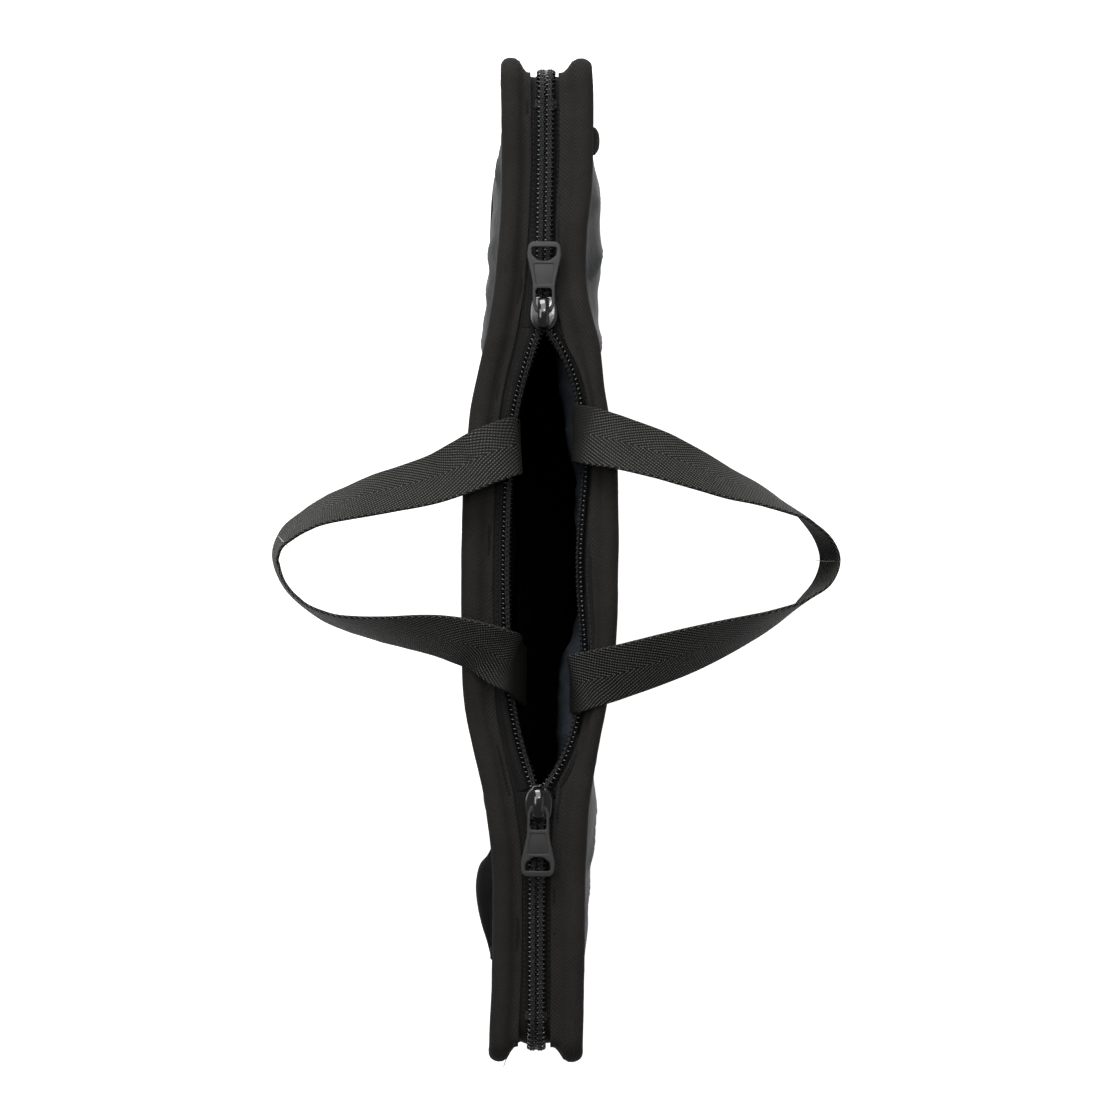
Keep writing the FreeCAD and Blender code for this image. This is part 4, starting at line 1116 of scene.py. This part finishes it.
def loose_thread(name, start, steps, surface, body, radius):
    """A thread that runs from start by the given steps."""
    points = [start]
    for step in steps:
        points.append(tuple(a + b for a, b in zip(points[-1], step)))
    curve = bpy.data.curves.new(name, "CURVE")
    curve.dimensions = "3D"
    line = curve.splines.new("NURBS")
    line.points.add(len(points) - 1)
    for spot, point in zip(line.points, points):
        spot.co = (*(v * MM for v in point), 1)
    line.order_u = 3
    line.use_endpoint_u = True
    path = [tuple(v.co / MM) for v in curve_mesh(name, curve).vertices]
    make_solid(name, tube_rows(path, radius, sides=5), body, surface)


# ---------------------------------------------------------------- arm sleeves

# outline of each hanging sleeve as it looks to an eye above the rims: (along, out)
SLEEVE_EDGE = {
    1: ((64, 29.0), (98, 24.6), (120, 23.4), (150, 22.8), (165, 21.2), (172, 19.6)),
    -1: ((-171, 19.2), (-163, 21.2), (-156, 23.5), (-148, 25.4), (-140, 26.3), (-134, 25.8), (-129.5, 24.4),
         (-126.5, 21.8), (-124.5, 20.0), (-112, 20.6), (-100, 22.0), (-64, 26.0)),
}
EYE_HEIGHT = 1600.0             # of that eye above the rims


def sleeve_limit(end, y, z):
    """How far out a sleeve may stand at a place, so that the eye sees the outline above."""
    depth = 1 + (HEIGHT - z) / EYE_HEIGHT
    return through(SLEEVE_EDGE[end], y / depth) * depth


def sleeve_rows(end):
    """Rings from inside the bag, out through the port, over the fold and down to the hem."""
    hinge_out, hinge_z = SLEEVE_HINGE
    reach = 3.7                         # from the hinge to the cloth's middle
    total = hinge_z - HEM
    stations = [(0, 0, inside) for inside in np.linspace(7.4, 0.5, 5)]
    stations += [(0, turn, 0) for turn in np.linspace(0, 90, 9)]
    stations += [(drop, 90, 0) for drop in (*np.linspace(3, total - 40, 46), *np.linspace(total - 38, total, 22))]
    rows = []
    for drop, turn, inside in stations:
        angle = math.radians(turn)
        normal = (math.sin(angle), math.cos(angle))
        centre = (hinge_out + reach * normal[0] - inside, hinge_z + reach * normal[1] - drop)
        width = through([(0, 107 if end > 0 else 115), (60, 101), (130, 93), (total - 44, 86), (total - 27, 74),
                         (total - 14, 70.5), (total - 4, 72), (total, 75)], drop)
        shift = 0 if end > 0 else -4.5 * smooth(1 - drop / 90)
        thick = through([(0, 2.9), (total - 50, 3.0), (total - 26, 3.1), (total, 3.3)], drop)
        pleat = smooth((drop - (total - 70)) / 46)
        row = []
        for c, s in circle(150):
            y = power(c, 0.72) * width / 2
            off = power(s, 0.5) * thick
            gather = pleat * 0.75 * math.sin(y * 1.55 + 2.2 * ripple(y / 9, drop / 60, 3 * end + s))
            at = end * SLEEVE_MIDDLE + shift + y
            limit = 9 if inside else sleeve_limit(end, at, centre[1]) - hinge_out - reach
            if s > 0:
                off += gather * (0.35 + s)
                if not inside:
                    folds = 1.3 * ripple(y / 26, drop / 40, 5 * end) + 1.6 * crease(y / 19, drop / 64, end)
                    folds += 1.4 * bump((drop - 120) / 110) + 1.4 * smooth(1 - drop / 30)
                    off = max(min(off + s * folds, limit), -3.9)
            else:
                off = max(min(off + 0.35 * gather - 1.2 * smooth(1 - drop / 60), limit - 0.3), -4.25)
            row.append((-centre[0] - normal[0] * off, at, centre[1] + normal[1] * off))
        rows.append(row)
    return rows


def make_sleeve(end):
    name = END_NAME[end]
    piece = grid_piece(f"{name}_arm_sleeve", sleeve_rows(end), wrap=True)
    give_wall(piece, SLEEVE_WALL)
    finish_piece(piece, None, FLAP,
                 (f"{name}_sleeve", f"{name}_sleeve_collar", f"{name}_sleeve_fold", f"{name}_sleeve_cuff",
                  f"{name}_sleeve_elastic"))
    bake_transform(piece)


# ---------------------------------------------------------------- trim

def make_side_tab():
    """A folded loop of tape that stands out of the back panel's seam."""
    low, high = low_mm("side_tab"), high_mm("side_tab")
    middle = (low[1] + high[1]) / 2
    half = 0.4 * (high[1] - low[1])
    rows = []
    for t in np.linspace(-1, 1, 15):
        fade = 1 - 0.4 * abs(t) ** 3
        rows.append([(low[0] - 1.6 + 3.9 * fade * math.sin(angle) ** 0.8, middle + half * t,
                      (low[2] + high[2]) / 2 + 7.2 * math.cos(angle) + 0.3 * ripple(t, angle, 1))
                     for angle in np.linspace(0, math.pi, 19)])
    make_cloth("side_tab_loop", rows, TAB_WALL, TWILL, ("side_tab",))


# ---------------------------------------------------------------- studio

CAMERA_UP = 1.6                 # metres above the rims
VIEW_WIDE = 468.0               # mm across the picture at the rims
AIM = (3.8, 4.3)                # mm, the picture's middle
ROLL = 0.6                      # degrees
LAMPS = (                       # name, energy, size and place in metres; each aims at LIT
    ("key", 9.4, 1.1, (-0.1, 0.72, 1.98)),
    ("far_side", 15.5, 0.8, (-0.25, 1.15, 1.05)),
    ("fill", 1.4, 1.2, (1.2, -0.3, 1.5)),
    ("side", 2.6, 0.5, (-0.75, 0.12, 1.85)),
    ("spark", 1.2, 0.12, (0.12, 0.3, 2.1)),
)
LIT = Vector((0, 0, 0.38))
AMBIENT = 0.14
FLOOR_GLOW = 0.86               # as the camera, gloss and glass see it
FLOOR_HALF = 6000


def make_studio():
    """Camera above the mouth, soft lamps, and a white surround that only adds AMBIENT to the light."""
    scene = bpy.context.scene
    camera = bpy.data.cameras.new("camera")
    camera.sensor_width = 36
    camera.lens = 36 / (VIEW_WIDE * MM / CAMERA_UP)
    camera.clip_end = 20
    eye = add_object("camera", camera)
    eye.location = (AIM[0] * MM, AIM[1] * MM, HEIGHT * MM + CAMERA_UP)
    eye.rotation_euler = (0, 0, math.radians(ROLL))
    scene.camera = eye

    for name, energy, size, place in LAMPS:
        light = bpy.data.lights.new(name, "AREA")
        light.energy = energy
        light.size = size
        thing = add_object(name, light)
        thing.location = place
        thing.rotation_euler = (LIT - Vector(place)).to_track_quat("-Z", "Y").to_euler()

    world = bpy.data.worlds.new("studio")
    scene.world = world
    world.use_nodes = True
    tree = world.node_tree
    back = tree.nodes["Background"]
    back.inputs["Color"].default_value = (1, 1, 1, 1)
    back.inputs["Strength"].default_value = AMBIENT
    white = tree.nodes.new("ShaderNodeBackground")
    white.inputs["Strength"].default_value = 1.0
    choose = tree.nodes.new("ShaderNodeMixShader")
    rays = tree.nodes.new("ShaderNodeLightPath")
    tree.links.new(rays.outputs["Is Camera Ray"], choose.inputs[0])
    tree.links.new(back.outputs[0], choose.inputs[1])
    tree.links.new(white.outputs[0], choose.inputs[2])
    tree.links.new(choose.outputs[0], tree.nodes["World Output"].inputs["Surface"])

    floor = grid_piece("floor", [[(x, y, 0) for x in (-FLOOR_HALF, FLOOR_HALF)] for y in (-FLOOR_HALF, FLOOR_HALF)])
    place_mesh(floor, Matrix.Translation((0, 0, -0.0002)))
    n = Nodes("floor_white")
    n.set(Base_Color=(0.9, 0.9, 0.9, 1.0), Roughness=0.9)
    glow = n.add("ShaderNodeEmission")
    path = n.add("ShaderNodeLightPath")
    seen = n.maths("MAXIMUM", path.outputs["Is Camera Ray"], path.outputs["Is Glossy Ray"])
    seen = n.maths("MAXIMUM", seen, path.outputs["Is Transmission Ray"])
    n.link(n.times(seen, FLOOR_GLOW), glow.inputs["Strength"])
    total = n.add("ShaderNodeAddShader")
    n.link(n.shader.outputs[0], total.inputs[0])
    n.link(glow.outputs[0], total.inputs[1])
    n.link(total.outputs[0], n.tree.nodes["Material Output"].inputs["Surface"])
    floor.data.materials.append(n.material)
    scene.view_settings.view_transform = "Standard"


# ---------------------------------------------------------------- assembly

make_studio()
for bag_side in (FRONT, BACK):
    make_binding(bag_side)
    make_panel(bag_side)
    make_lining(bag_side)
    make_coil(bag_side)
    make_tape(bag_side)
    make_handle(bag_side)
make_gussets()
make_lining_closure()
make_zip_stops()
for bag_end in (1, -1):
    make_slider(bag_end)
    make_sleeve(bag_end)
make_side_tab()
loose_thread("front_loop_thread", (-114.7, 9.1, HEIGHT - 39.6),
             [(1.5, -1.05, 7.8), (1.5, -1.05, 7.8), (0.8, -0.6, 4.3), (1.3, -0.8, 0.7), (0.7, -1.2, -0.2),
              (-0.1, -1.4, -0.3)],
             PALE_THREAD, "front_loop", radius=0.16)
loose_thread("back_loop_thread", (126.4, 0.8, HEIGHT - 19.1),
             [(-2.2, -0.2, -7.7), (-2.5, 0.2, -8.6), (-0.9, 0.1, -3.3), (-1.2, 0.1, -0.6)],
             PALE_THREAD, "back_loop", radius=0.14)
loose_thread("near_fray", (-9.0, -206.0, HEIGHT - 4), [(-1.5, -3.0, 0.3), (-2.2, -4.0, -0.5), (-1.0, -3.4, -1.2)],
             BLACK_THREAD, "bag", radius=0.16)
